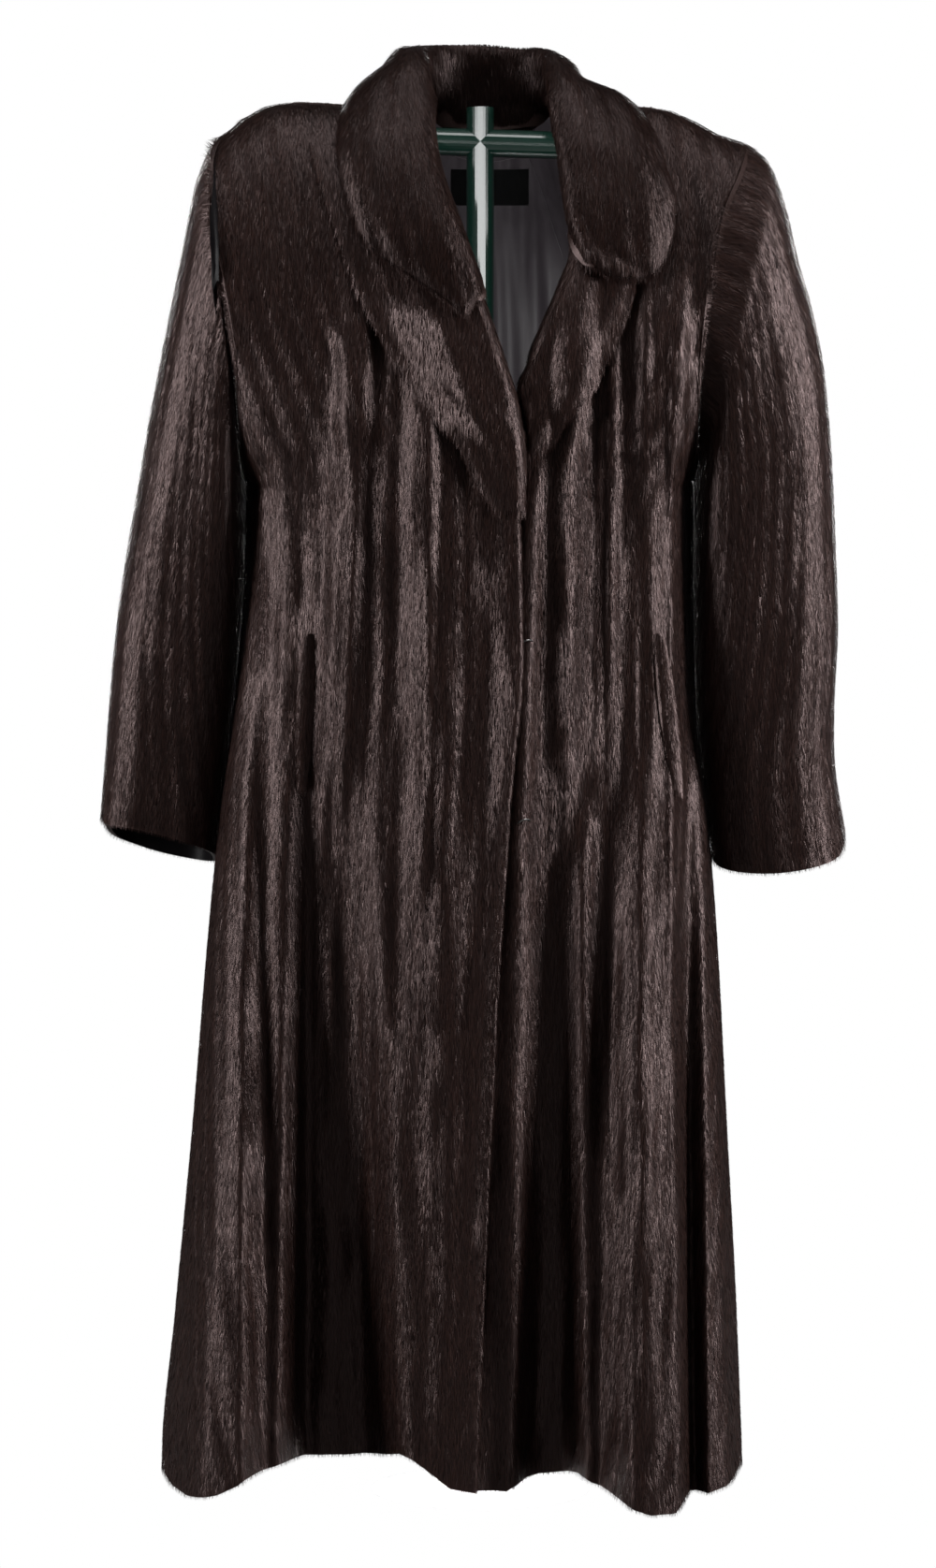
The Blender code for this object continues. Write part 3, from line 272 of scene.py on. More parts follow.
def panel_points(side, u, row, behind):
    """The outer surface of half a body panel, from its free edge or the spine, u=0, to the side, u=1.

    It returns the folded surface and the plain one that the folds stand on."""
    u, row = np.broadcast_arrays(np.asarray(u, float), np.asarray(row, float))
    edge = SPINE if behind else EDGE[side]
    inner = np.stack(at(edge, "row", row, "x", "y", "z"), -1)
    share = smooth((0.9 - u) / 0.3)[..., None]
    outer = side_points(side, row, behind) * (1 - share) + eased_side_points(side, row, behind) * share
    full = at(FULLNESS, "row", row, "back" if behind else "front")
    along = np.sin(math.pi / 2 * u) ** (2 / full)
    depth = np.cos(math.pi / 2 * np.minimum(u, 1 - 1e-12)) ** (2 / full)
    x = inner[..., 0] + (outer[..., 0] - inner[..., 0]) * along
    y = outer[..., 1] + (inner[..., 1] - outer[..., 1]) * depth
    z = inner[..., 2] + (outer[..., 2] - inner[..., 2]) * along
    # Near the shoulder the rows bend up to the seam, and at the neck down to the neck seam.
    near = smooth((row - 1125.0) / (RIDGE_ROW - 1125.0))
    ridge = RIDGE[side]
    height = np.interp(x, ridge["x"], ridge["z"])
    if behind:
        neck_x = EDGE[side]["x"][-1]
        neck_z = EDGE[side]["z"][-1]
        t = np.clip((x - inner[..., 0]) / (neck_x - inner[..., 0]), 0, 1)
        neck_y = SPINE["y"][-1] * np.sqrt(np.clip(1 - t ** 2.4, 0, 1))
        neck_z = SPINE["z"][-1] + (neck_z - SPINE["z"][-1]) * t ** 2.2
        on_neck = np.abs(x - inner[..., 0]) < np.abs(EDGE[side]["x"][-1] - inner[..., 0])
        top_y = np.where(on_neck, neck_y, 0.0)
        top_z = np.where(on_neck, neck_z, height)
        last = curve(RIDGE_ROW, SPINE["row"], SPINE["y"]) * depth
        y = y + near * (top_y - last)
        plain_z = SPINE["z"][-1] + (SHOULDER[side] - SPINE["z"][-1]) * along
        z = z + near * (top_z - plain_z)
    else:
        plain_z = EDGE[side]["z"][-1] + (SHOULDER[side] - EDGE[side]["z"][-1]) * along
        z = z + near * (height - plain_z)
    plain = np.stack([x, y, z], -1)
    # The hem's waves, and the folds, which die out at the side seam.
    hem = HEM_BACK if behind else HEM_FRONT
    hem_z = np.interp(x, hem["x"], hem["z"])
    low = smooth(1 - row / HEM_REACH)
    z = z * (1 - low) + low * (hem_z + row * (1 - hem_z / HEM_REACH))
    out = folds(FOLDS_BACK if behind else FOLDS_FRONT, x, z) * smooth((1 - u) / 0.12)
    y = y + (out if behind else -out)
    return np.stack([x, y, z], -1), plain


def inward(plain, toward):
    """Unit directions into the wall, square to a grid of points, on the side that toward points to."""
    du = np.gradient(plain, axis=1)
    dv = np.gradient(plain, axis=0)
    normal = unit(np.cross(du, dv))
    flip = np.sign(np.sum(normal * toward, -1, keepdims=True))
    return normal * np.where(flip == 0, 1, flip)


def halves(points, quad):
    """A quad's two triangles, split along its shorter diagonal."""
    a, b, c, d = quad
    corners = points[[a, b, c, d]]
    if np.linalg.norm(corners[2] - corners[0]) <= np.linalg.norm(corners[3] - corners[1]):
        return [(a, b, c), (a, c, d)]
    return [(b, c, d), (b, d, a)]


def front_grid(side):
    """The outer points of a front, from its free edge to the side."""
    u = np.linspace(0, 1, FRONT_COLUMNS)[None, :]
    return panel_points(side, u, ROWS[:, None], behind=False)[0] + [0, -SEAM_GAP / 2, 0]


def back_grid():
    """The outer points of the back, from the right side seam over the spine to the left one."""
    u = np.linspace(0, 1, BACK_COLUMNS)[None, :]
    right, left = (panel_points(side, u, ROWS[:, None], behind=True)[0] for side in (RIGHT, LEFT))
    return np.concatenate([right[:, ::-1], left[:, 1:]], axis=1) + [0, SEAM_GAP / 2, 0]


# The sleeves: the outer and inner outline at each ring below the armhole, and half the ring's depth.
SLEEVE = {
    RIGHT: table("x_out z_out x_in z_in half shift", [
        (-245, 1212, -213.5, 903, 80, 0), (-255, 1192, -213, 890, 80, 1), (-262, 1166, -213, 875, 80, 2),
        (-270, 1128, -213, 852, 79, 3), (-280, 1083, -213.5, 826, 78, 5), (-291, 1030, -214.5, 797, 77, 8),
        (-302, 975, -216.5, 765, 75, 11), (-312, 918, -219, 732, 73, 14), (-323, 857, -222, 700, 71, 17),
        (-332.5, 793, -226, 668, 69, 20), (-339, 727, -229.5, 637, 67, 22), (-344, 660, -233, 605, 66, 24),
        (-349, 599, -237, 571, 65, 26)]),
    LEFT: table("x_out z_out x_in z_in half shift", [
        (259, 1204, 194, 903, 80, 0), (270, 1184, 193.5, 890, 80, 0), (279, 1158, 193, 875, 80, 0),
        (289, 1120, 192, 852, 79, 1), (302, 1078, 191, 826, 78, 2), (313, 1027, 191, 797, 77, 4),
        (319, 972, 191, 765, 76, 6), (323, 915, 192, 732, 74, 8), (326, 850, 193, 700, 72, 10),
        (328, 783, 195.5, 670, 70, 12), (325, 717, 199, 642, 69, 14), (326, 655, 202.5, 613, 68, 16),
        (336, 589, 207, 577, 67, 18)]),
}
CUFF_SLANT = {RIGHT: -11.0, LEFT: 22.0}   # how much higher the cuff's back is than its front, halved


def front_column_at(side, row, x):
    """The u of the front panel's point at x on a row."""
    u = np.linspace(0, 1, 400)
    points, _ = panel_points(side, u, np.full_like(u, row), behind=False)
    return float(np.interp(side * x, side * points[:, 0], u))


# The lapels' outer edges, row by row, and how far their inner edges hook round the front's edge.
LAPEL = {
    RIGHT: table("row x_out hook thick", [
        (884, 12, 0.2, 5), (905, -2, 0.5, 8), (930, -13, 0.8, 10), (952, -22, 1, 10), (972, -38, 1, 10),
        (996, -54, 1, 10), (1018, -69, 1, 10), (1042, -84, 1, 10), (1069, -99, 1, 10),
        (1095, -113, 1, 10), (1120, -123, 1, 9), (1148, -134, 1, 8), (1174, -144, 1, 6),
        (1198, -151, 1, 4)]),
    LEFT: table("row x_out hook thick", [
        (948, 60, 0, 7), (958, 69, 0, 9), (972, 76, 0, 10), (990, 86, 0, 10), (1012, 101, 0, 10),
        (1036, 113, 1, 10), (1060, 124, 1, 10), (1080, 134, 1, 10), (1098, 138, 1, 9),
        (1115, 138, 1, 8), (1135, 136, 1, 6), (1155, 132, 1, 4)]),
}
LAPEL_STEPS = 12
LAPEL_CLEAR = 14.0      # between the right front's edge and the left lapel's inner edge
# The lapel's inner edge in section: steps past the front's edge and rises, as shares of the lapel's
# thickness above the panel and millimetres below it.
HOOKED = table("step over under", [
    (1.0, 0.96, 0), (4.5, 0.78, 0), (7.7, 0.4, 0), (9.2, 0, -1.0), (8.6, 0, -6.0), (6.0, 0, -9.0),
    (3.2, 0, -6.0)])
BLUNT = table("step over", [
    (1.0, 0.94), (2.6, 0.8), (3.6, 0.62), (4.0, 0.45), (3.6, 0.3), (2.4, 0.16), (1.0, 0.09)])


def lapel_rings(side, grid, tree):
    """Closed rings of a lapel, each along one row of the front's grid that it lies on."""
    rows = refine(LAPEL[side], 2)
    rings = []
    for row, x_out, hook, thick in zip(rows["row"], rows["x_out"], rows["hook"], rows["thick"]):
        edge_x = float(at(EDGE[side], "row", row, "x"))
        clear_x = float(at(EDGE[RIGHT], "row", row, "x")) + LAPEL_CLEAR
        x_in = max(edge_x, clear_x) if side == LEFT else edge_x
        u_in = front_column_at(side, row, x_in) if x_in > edge_x else 0.0
        u_out = front_column_at(side, row, x_out)
        u = np.linspace(u_in, u_out, LAPEL_STEPS)
        grid_rows = row + np.array([-4.0, 0.0, 4.0])
        points, _ = panel_points(side, u[None, :], grid_rows[:, None], behind=False)
        ways = inward(points, np.array([0, 1.0, -0.2]))[1]
        base = points[1] + [0, -SEAM_GAP / 2, 0]
        if x_in == edge_x:
            base[0] = [np.interp(row, ROWS, grid[:, 0, k]) for k in range(3)]
        out = unit(base[0] - base[1])
        under = base - ways * LAY_GAP
        rim = np.sin(np.linspace(0.14, 1, LAPEL_STEPS) * math.pi / 2)[::-1] ** 0.5
        over = base - ways * (LAY_GAP + (thick * rim)[:, None])
        if hook > 0:
            step = HOOKED["step"] * (0.7 + 0.3 * hook)
            rise = HOOKED["over"] * thick + HOOKED["under"] * hook
        else:
            step = BLUNT["step"]
            rise = BLUNT["over"] * thick
        inner_edge = base[0] + out * step[:, None] - ways[0] * rise[:, None]
        rings.append(np.concatenate([over[::-1], inner_edge, under]))
    rings = np.array(rings)
    on_panel = np.r_[0:LAPEL_STEPS - 1, rings.shape[1] - LAPEL_STEPS + 1:rings.shape[1]]
    rings[:, on_panel] = push_clear(rings[:, on_panel], [tree], LAY_GAP)
    return rings


def lapel_top(rings):
    """The part of a lapel that the collar lies on, as a grid."""
    return np.concatenate([rings[:, -1:], rings[:, :LAPEL_STEPS + 6]], axis=1)


# The collar, station by station from its right end round the neck to its left one: the crest of the
# roll, the outer edge of the fall and the way it comes down on the coat (0 from the front, 90 from
# above, 180 from behind), the seam inside the neck, and how full the fall is.
COLLAR = table("x y z x_out y_out z_out down x_seam y_seam z_seam full", [
    (-2, -103, 1078, -14, -106, 1058, 0, 4, -92, 1076, 0),
    (-8, -100, 1098, -36, -104, 1076, 0, 0, -84, 1094, 2),
    (-17, -94, 1124, -68, -98, 1098, 0, -10, -76, 1118, 4),
    (-27, -84, 1151, -98, -90, 1122, 0, -20, -62, 1146, 6),
    (-36, -72, 1179, -114, -80, 1156, 0, -31, -50, 1170, 8),
    (-42, -58, 1206, -123, -66, 1188, 15, -40, -36, 1198, 10),
    (-45, -44, 1234, -127, -45, 1214, 40, -46, -22, 1224, 10),
    (-47, -28, 1264, -124, -22, 1240, 70, -50, -8, 1240, 8),
    (-54, -9, 1294, -111, 4, 1255, 90, -52, 6, 1247, 7),
    (-59, 12, 1309, -104, 34, 1245, 130, -50, 20, 1246, 9),
    (-51, 33, 1312, -95, 60, 1231, 160, -42, 34, 1244, 8),
    (-34, 49, 1317, -66, 80, 1216, 175, -26, 46, 1242, 7),
    (-12, 58, 1320, -28, 86, 1207, 180, -9, 52, 1240, 6),
    (12, 59, 1319, 12, 86, 1206, 180, 12, 52, 1240, 6),
    (35, 51, 1315, 56, 82, 1212, 175, 36, 47, 1241, 7),
    (56, 34, 1311, 92, 66, 1226, 160, 55, 34, 1243, 6),
    (68, 12, 1302, 112, 38, 1238, 130, 64, 18, 1243, 2),
    (69, -10, 1284, 121, 6, 1252, 90, 66, 4, 1242, 0),
    (66, -28, 1259, 146, -24, 1246, 70, 68, -10, 1236, 3),
    (67, -40, 1236, 160, -46, 1221, 45, 70, -22, 1223, 8),
    (71, -52, 1214, 166, -66, 1197, 20, 74, -32, 1204, 10),
    (74, -64, 1188, 172, -78, 1168, 0, 76, -44, 1180, 8),
    (77, -75, 1164, 171, -88, 1138, 0, 78, -54, 1158, 6),
    (80, -84, 1144, 163, -95, 1112, 0, 80, -62, 1138, 4),
    (88, -90, 1126, 148, -100, 1094, 0, 84, -72, 1120, 2),
    (97, -96, 1110, 122, -104, 1092, 0, 92, -84, 1102, 0),
])
COLLAR_STEPS = 9


def path_through(stops, count):
    """Evenly spaced points on a smooth path through a few stops."""
    stops = np.array(stops)
    reach = np.concatenate([[0], np.cumsum(np.linalg.norm(np.diff(stops, axis=0), axis=1))])
    fine = np.linspace(0, reach[-1], 200)
    line = np.stack([curve(fine, reach, stops[:, k]) for k in range(3)], -1)
    length = np.concatenate([[0], np.cumsum(np.linalg.norm(np.diff(line, axis=0), axis=1))])
    even = np.linspace(0, length[-1], count)
    return np.stack([np.interp(even, length, line[:, k]) for k in range(3)], -1)


def come_down(point, angle, trees, gap):
    """A point moved along its way down until it lies a small gap off the first surface."""
    way = np.array([0, math.cos(math.radians(angle)), -math.sin(math.radians(angle))])
    start = point - way * 200
    hits = [tree.ray_cast(start.tolist(), way.tolist(), 300) for tree in trees]
    reached = [distance for place, _, _, distance in hits if place is not None]
    return start + way * (min(reached) - gap) if reached else point


def collar_rings(trees):
    """Closed rings of the collar: each runs up from the neck seam, over the roll and down the fall."""
    c = refine(COLLAR, 2)
    last = len(c["x"]) - 1
    rings = []
    for k in range(last + 1):
        crest = np.array([c["x"][k], c["y"][k], c["z"][k]])
        edge = np.array([c["x_out"][k], c["y_out"][k], c["z_out"][k]])
        edge = come_down(edge, c["down"][k], trees, LAY_GAP + COLLAR_THICK * 0.3)
        seam = np.array([c["x_seam"][k], c["y_seam"][k], c["z_seam"][k]])
        normal = unit(np.cross(edge - crest, seam - crest))
        puff = unit(np.cross(normal, edge - crest))
        if np.dot(puff, crest - seam) < 0:
            puff = -puff
        stops = [seam, seam * 0.45 + crest * 0.55, crest,
                 crest * 0.62 + edge * 0.38 + puff * c["full"][k] * 0.9,
                 crest * 0.3 + edge * 0.7 + puff * c["full"][k] * 0.7, edge]
        line = path_through(stops, COLLAR_STEPS)
        along = unit(np.gradient(line, axis=0))
        side_way = unit(np.cross(normal, along))
        if np.dot(side_way[-3], puff) < 0:
            side_way = -side_way
        t = np.linspace(0, 1, COLLAR_STEPS)
        half = COLLAR_THICK / 2 * np.minimum(1, np.sqrt(np.clip(1 - (2 * t - 1) ** 6, 0.05, 1)))
        half = half * (0.55 + 0.45 * smooth(t / 0.45)) * (0.5 + 0.5 * smooth(min(k, last - k) / 7))
        upper = line + side_way * half[:, None]
        lower = line - side_way * half[:, None]
        rings.append(np.concatenate([upper, lower[::-1]]))
    return np.array(rings)


def surface(grid):
    """Vertices and faces of a grid of points."""
    rows, columns = grid.shape[:2]
    points = grid.reshape(-1, 3)
    faces = []
    for k in (i * columns + j for i in range(rows - 1) for j in range(columns - 1)):
        faces += halves(points, [k, k + 1, k + columns + 1, k + columns])
    return points, faces


def search_tree(*grids):
    """A search tree of the surfaces through some grids, turned away from the middle of the body."""
    vertices, faces = [], []
    for points, own_faces in map(surface, grids):
        corners = np.array(own_faces)
        a, b, c = (points[corners[:, k]] - BODY_MIDDLE for k in range(3))
        turn = 1 if np.sum(a * np.cross(b, c)) > 0 else -1
        faces += [tuple(np.array(face) + len(vertices))[::turn] for face in own_faces]
        vertices += points.tolist()
    return BVHTree.FromPolygons(vertices, faces)


def step_clear(points, tree, gap, reach=24.0):
    """The steps that take points in or too near a surface to a small gap outside it."""
    flat = points.reshape(-1, 3)
    steps = np.zeros_like(flat)
    for k, point in enumerate(flat):
        place, normal, _, distance = tree.find_nearest(point.tolist(), reach)
        if place is None:
            continue
        place, normal = np.array(place), np.array(normal)
        rise = np.dot(point - place, normal)
        past_edge = abs(rise) < 0.7 * distance
        if rise < gap and not past_edge:
            steps[k] = place + normal * gap - point
    return steps.reshape(points.shape)


def push_clear(points, trees, gap):
    """Moves a grid of points, and the middles of its meshes' sides, off the surfaces that it lies on."""
    moved = points.copy()
    for tree in list(trees) * 4:
        moved += step_clear(moved, tree, gap)
        for before, after in ((np.s_[:-1], np.s_[1:]), (np.s_[:, :-1], np.s_[:, 1:])):
            step = step_clear((moved[before] + moved[after]) / 2, tree, gap)
            moved[before] += step * 0.6
            moved[after] += step * 0.6
    return moved


LINING = table("row half_width", [
    (890, 92), (950, 92), (1005, 90), (1050, 88), (1092, 84), (1128, 78), (1158, 70), (1184, 62),
    (1208, 54), (1232, 46)])
LINING_STEPS = 9
LINING_GAP = 2.6        # between the back's wall and the lining at its neck
LINING_FOLD = 1.6


def lining_grid():
    """The inner face of the lining of the back's upper middle, in soft upright folds."""
    rows = LINING["row"]
    grid = np.zeros((len(rows), 2 * LINING_STEPS - 1, 3))
    ways = np.zeros_like(grid)
    fine = np.linspace(0, 0.6, 200)
    for i, row in enumerate(rows):
        for side in (RIGHT, LEFT):
            path, _ = panel_points(side, fine, np.full_like(fine, row), behind=True)
            reach = LINING["half_width"][i] * side
            stops = np.linspace(path[0, 0], reach, LINING_STEPS)
            u = np.interp(side * stops, side * path[:, 0], fine)
            near_rows = np.array([row - 5.0, row, row + 5.0])
            points, plain = panel_points(side, u[None, :], near_rows[:, None], behind=True)
            way = inward(plain, np.array([0, -1.0, -0.1]))[1]
            columns = LINING_STEPS - 1 + side * np.arange(LINING_STEPS)
            grid[i, columns] = points[1]
            ways[i, columns] = way
    fold = LINING_FOLD * (1 + np.sin(grid[..., 0] / 9.0)) * smooth((1200 - rows[:, None]) / 120)
    outer = grid + ways * (WALL + LINING_GAP + fold)[..., None]
    return outer + ways * LINING_THICK


POCKET = {RIGHT: {"top": (-152.0, 776.0), "low": (-160.0, 640.0)},
          LEFT: {"top": (158.0, 776.0), "low": (174.0, 636.0)}}
WELT_WIDTH = 15.0


def welt_rings(side, tree):
    """A pocket welt: a rounded lip along the pocket's slit, raised from the front's own points."""
    (x_top, row_top), (x_low, row_low) = POCKET[side]["top"], POCKET[side]["low"]
    rings = []
    for t in np.linspace(0, 1, 9):
        row = row_top + (row_low - row_top) * t
        x = x_top + (x_low - x_top) * t
        width = WELT_WIDTH * (0.55 + 0.45 * math.sin(math.pi * t))
        u = np.array([front_column_at(side, row, x - width / 2 + width * k / 4) for k in range(5)])
        grid_rows = row + np.array([-6.0, 0.0, 6.0])
        points, _ = panel_points(side, u[None, :], grid_rows[:, None], behind=False)
        ways = inward(points, np.array([0, 1.0, 0]))[1]
        base = points[1] + [0, -SEAM_GAP / 2, 0]
        rise = WELT_THICK * np.array([0.25, 0.85, 1.0, 0.85, 0.25])
        over = base - ways * (LAY_GAP + rise)[:, None]
        under = base - ways * LAY_GAP
        rings.append(np.concatenate([over, under[::-1]]))
    return push_clear(np.array(rings), [tree], LAY_GAP)


# ---------------------------------------------------------------------------------------------
# Finer surfaces for the looks.

SHELL_DEPTH = 2.0       # from the solid's surface to the leather's, under the hair
SHELL_THICK = 4.0
SEAM_DEPTH = 1.3        # the same beside the armholes' seams
SEAM_COVER = 9.0        # how far the sleeves' fur runs over the armholes' seams, and how high
COVER_LIFT = 1.5
SEAM_REACH = 14.0       # how far from the seam the leather comes up to it
INNER_PUFF = 2.0        # the sleeves' fur stands out this far towards the body and touches it
EDGE_RADIUS = 4.5       # the fur rounds the fronts' free edges, in so many steps,
EDGE_STEPS = 6
EDGE_BACK = 2.5         # from this far inside them

# Smaller folds than the solids have, in the columns of the large ones. The light catches their flanks.
FINE_FRONT = table(FOLD_COLUMNS, [
    (-168, -176, -184, 14, 16, 10, 10, 0, 2.5, 1.5, 0.5),
    (-112, -140, -146, 20, 14, 15, 12, 6, 6, 5, 3),
    (-88, -104, -106, 10, 9, 8, 8, -2.5, -2, -3, -1.5),
    (-52, -60, -66, 18, 10, 13, 9, 4, 6, 3, 1.5),
    (-4, -2, -6, 12, 13, 9, 9, 0, 1.5, 3, 3),
    (48, 32, 22, 14, 12, 10, 9, 3, 4, 3, 3),
    (96, 92, 96, 12, 10, 9, 9, -3, -3, 4, 1.5),
    (118, 118, 124, 8, 9, 5, 7, 4, 3, -3, -2.0),
    (146, 146, 150, 9, 12, 6, 9, 4, -3, 3, 3),
    (176, 176, 182, 12, 10, 8, 8, 3, 4, 2.5, -4),
])
FINE_BACK = table(FOLD_COLUMNS, [
    (-150, -158, -170, 14, 14, 10, 10, 2, 3, 3, 3), (-92, -98, -106, 14, 14, 10, 10, 3, 4, 4, 3),
    (-34, -38, -44, 12, 14, 9, 10, 2, 3, 4, 3), (28, 24, 20, 12, 14, 9, 10, 3, 4, 3, 3),
    (88, 84, 84, 14, 14, 10, 10, 2, 3, 4, 4), (146, 142, 146, 12, 14, 9, 10, 3, 4, 3, 2),
])


# Where the hair is brushed aside so that a side light catches it: a band's middle at its top and its
# low end, its half width, and how far its hairs turn (towards -X if positive).
BRUSHED = table("x_top z_top x_low z_low half turn", [
    (-126, 1060, -126, 885, 9, 0.50), (-97, 945, -97, 860, 9, 0.45), (-40, 870, -47, 505, 13, 0.55),
    (-195, 845, -195, 740, 14, 0.45), (-155, 810, -155, 645, 13, 0.50), (-125, 720, -125, 580, 11, 0.45),
    (-200, 545, -200, 310, 14, 0.20), (-134, 545, -138, 340, 8, 0.45), (-42, 510, -41, 90, 11, 0.40),
    (-187, 290, -187, 90, 13, 0.12), (-141, 290, -141, 90, 8, 0.45), (84, 935, 84, 680, 17, -1.6),
    (76, 676, 54, 580, 15, -1.5), (53, 860, 51, 505, 9, -0.60), (178, 940, 178, 820, 9, -0.45),
    (191, 810, 180, 655, 9, -0.45), (205, 635, 204, 505, 9, -0.40), (98, 610, 105, 320, 9, -0.50),
    (198, 510, 199, 90, 17, -0.25), (10, 528, -8, 90, 8, 0.60), (125, 278, 126, 90, 9, -0.50),
    (169, 925, 172, 670, 7, -0.45), (-69, 1068, -15, 955, 14, 0.65), (-44, 1056, -2, 950, 6, 0.5),
    (-110, 480, -118, 200, 6, 0.6), (-82, 420, -84, 120, 6, 0.5), (6, 860, 14, 560, 9, 0.5),
    (128, 880, 120, 620, 8, -0.7), (150, 500, 156, 260, 8, -0.35),
])


def brushed(x, z):
    """How far the hairs of the fronts, the back and the right lapel turn aside at x and z."""
    total = np.zeros_like(x)
    for x_top, z_top, x_low, z_low, half, turn in zip(*BRUSHED.values()):
        share = (z_top - z) / (z_top - z_low)
        far = (x - x_top - (x_low - x_top) * share) / half
        ends = smooth((share + 0.12) / 0.24) * smooth((1.12 - share) / 0.24)
        total = total + turn * np.exp(-far * far) * ends
    return total


def fine_folds(rows, x, z):
    """The small folds, each swelling and fading on its way down."""
    total = 0
    for k in range(len(rows["chest"])):
        uneven = 1 + 0.35 * np.sin(z / 67.0 + 2.1 * k) + 0.25 * np.sin(z / 29.0 + 4.3 * k)
        total = total + uneven * folds({name: values[k:k + 1] for name, values in rows.items()}, x, z)
    return total


def finer(grid, steps):
    """A grid with steps times as many rows, on smooth curves through its own points."""
    tangent = np.gradient(grid, axis=0)
    i = np.append(np.repeat(np.arange(len(grid) - 1), steps), len(grid) - 2)
    t = np.append(np.tile(np.arange(steps) / steps, len(grid) - 1), 1.0)
    t = t.reshape(-1, *[1] * (grid.ndim - 1))
    start = (1 + 2 * t) * (1 - t) ** 2 * grid[i] + t * (1 - t) ** 2 * tangent[i]
    return start + t * t * (3 - 2 * t) * grid[i + 1] + t * t * (t - 1) * tangent[i + 1]


def finer_both(grid, rows, columns):
    """A grid with so many times as many rows and columns."""
    return finer(finer(grid, rows).swapaxes(0, 1), columns).swapaxes(0, 1)


def finer_rings(rings, rows, columns):
    """Closed rings made finer along the piece and round it; the last column meets the first."""
    joined = np.concatenate([rings[:, -3:], rings, rings[:, :4]], axis=1)
    fine = finer_both(joined, rows, columns)
    return fine[:, 3 * columns:(rings.shape[1] + 3) * columns + 1]


def arc_lengths(points, axis):
    """Distances over a grid of points along one of its axes, from its first row or column."""
    steps = np.linalg.norm(np.diff(points, axis=axis), axis=-1)
    shape = list(points.shape[:2])
    shape[axis] = 1
    return np.concatenate([np.zeros(shape), np.cumsum(steps, axis=axis)], axis=axis)


def rounded(points, normals):
    """A grid and its normals with the first column carried on round the edge, to the inner face."""
    edge_way = unit(points[:, 0] - points[:, 1])
    fade = np.exp(-arc_lengths(points, 1) / 12.0)[..., None]
    points = points - (edge_way * EDGE_BACK)[:, None] * fade
    extra, turned = [], []
    for angle in np.radians(np.linspace(180, 180 / EDGE_STEPS, EDGE_STEPS)):
        outwards, aside = math.cos(angle), edge_way * math.sin(angle)
        extra.append(points[:, 0] + EDGE_RADIUS * (normals[:, 0] * (outwards - 1) + aside))
        turned.append(unit(normals[:, 0] * outwards + aside))
    return (np.concatenate([np.stack(extra, 1), points], axis=1),
            np.concatenate([np.stack(turned, 1), normals], axis=1))


def outward(points, inside):
    """Unit normals of a grid of points, turned away from inside."""
    normal = unit(np.cross(np.gradient(points, axis=1), np.gradient(points, axis=0)))
    turn = np.sign(np.sum(normal * (points - inside), axis=(0, 1)).sum())
    return normal * turn


def panel_surface(side, rows, columns, behind):
    """A fine grid of half a body panel, with its small folds."""
    row = np.linspace(0, RIDGE_ROW, rows)[:, None]
    u = np.linspace(0, 1, columns)[None, :]
    points, _ = panel_points(side, u, row, behind)
    fine = FINE_BACK if behind else FINE_FRONT
    out = fine_folds(fine, points[..., 0], points[..., 2]) * smooth((1 - u) / 0.1)
    points[..., 1] += out if behind else -out
    return points


def seam_cover(side, angle):
    """Points on the body's panels just inside the armhole, which the sleeve's fur runs over."""
    u = np.linspace(1, 0.85, 46)[None]
    half_turn = np.where(angle > 180, 360 - angle, angle)
    row = ARMPIT_ROW + (1 - half_turn / 180) * (RIDGE_ROW - ARMPIT_ROW)
    reach = SEAM_COVER * smooth((180 - half_turn) / 50)
    front, back = (panel_points(side, u, row[:, None], behind)[0] for behind in (False, True))
    points = np.where((angle > 180)[:, None, None], back, front)
    far = arc_lengths(points, 1)
    cover = np.array([[np.interp(reach[k], far[k], points[k, :, axis]) for axis in range(3)]
                      for k in range(len(angle))])
    return cover - armhole_inward(side, angle) * COVER_LIFT * smooth(reach / SEAM_COVER)[:, None]


def sleeve_surface(side, steps, columns):
    """The sleeve's outer surface with the last column on the first, from the cuff up to the armhole."""
    angle = np.linspace(0, 360, columns)
    rad = np.radians(angle)
    rows = SLEEVE[side]
    rings = [armhole(side, angle)]
    count = len(rows["half"])
    for k in range(count):
        top = np.array([rows["x_out"][k], 0, rows["z_out"][k]])
        low = np.array([rows["x_in"][k], 0, rows["z_in"][k]])
        middle, half = (top + low) / 2, (top - low) / 2
        depth = np.array([0, rows["half"][k], 0])
        square = 1 - 0.06 * np.cos(4 * rad)[:, None] * min(1, k / 4)
        ring = middle + (half * np.cos(rad)[:, None] - depth * np.sin(rad)[:, None]) * square
        ring[:, 1] += rows["shift"][k]
        raised = CUFF_ROUND * np.maximum(np.cos(rad), 0) ** 12 - CUFF_SLANT[side] * np.sin(rad)
        ring[:, 2] += raised * smooth((k - count + 4) / 3)
        ring[:, 0] -= side * INNER_PUFF * np.maximum(-np.cos(rad), 0)
        rings.append(ring)
    fine = finer(np.array(rings), steps)[::-1]
    share = np.linspace(0.25, 1, 4)[:, None, None]
    fine = np.concatenate([fine, rings[0] * (1 - share) + seam_cover(side, angle) * share])
    return fine + [side * SEAM_GAP, 0, 0]


# ---------------------------------------------------------------------------------------------
# Meshes.

def new_object(name, mesh, materials):
    obj = bpy.data.objects.new(name, mesh)
    for material in materials:
        mesh.materials.append(material)
    bpy.context.scene.collection.objects.link(obj)
    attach(obj, "root")
    return obj


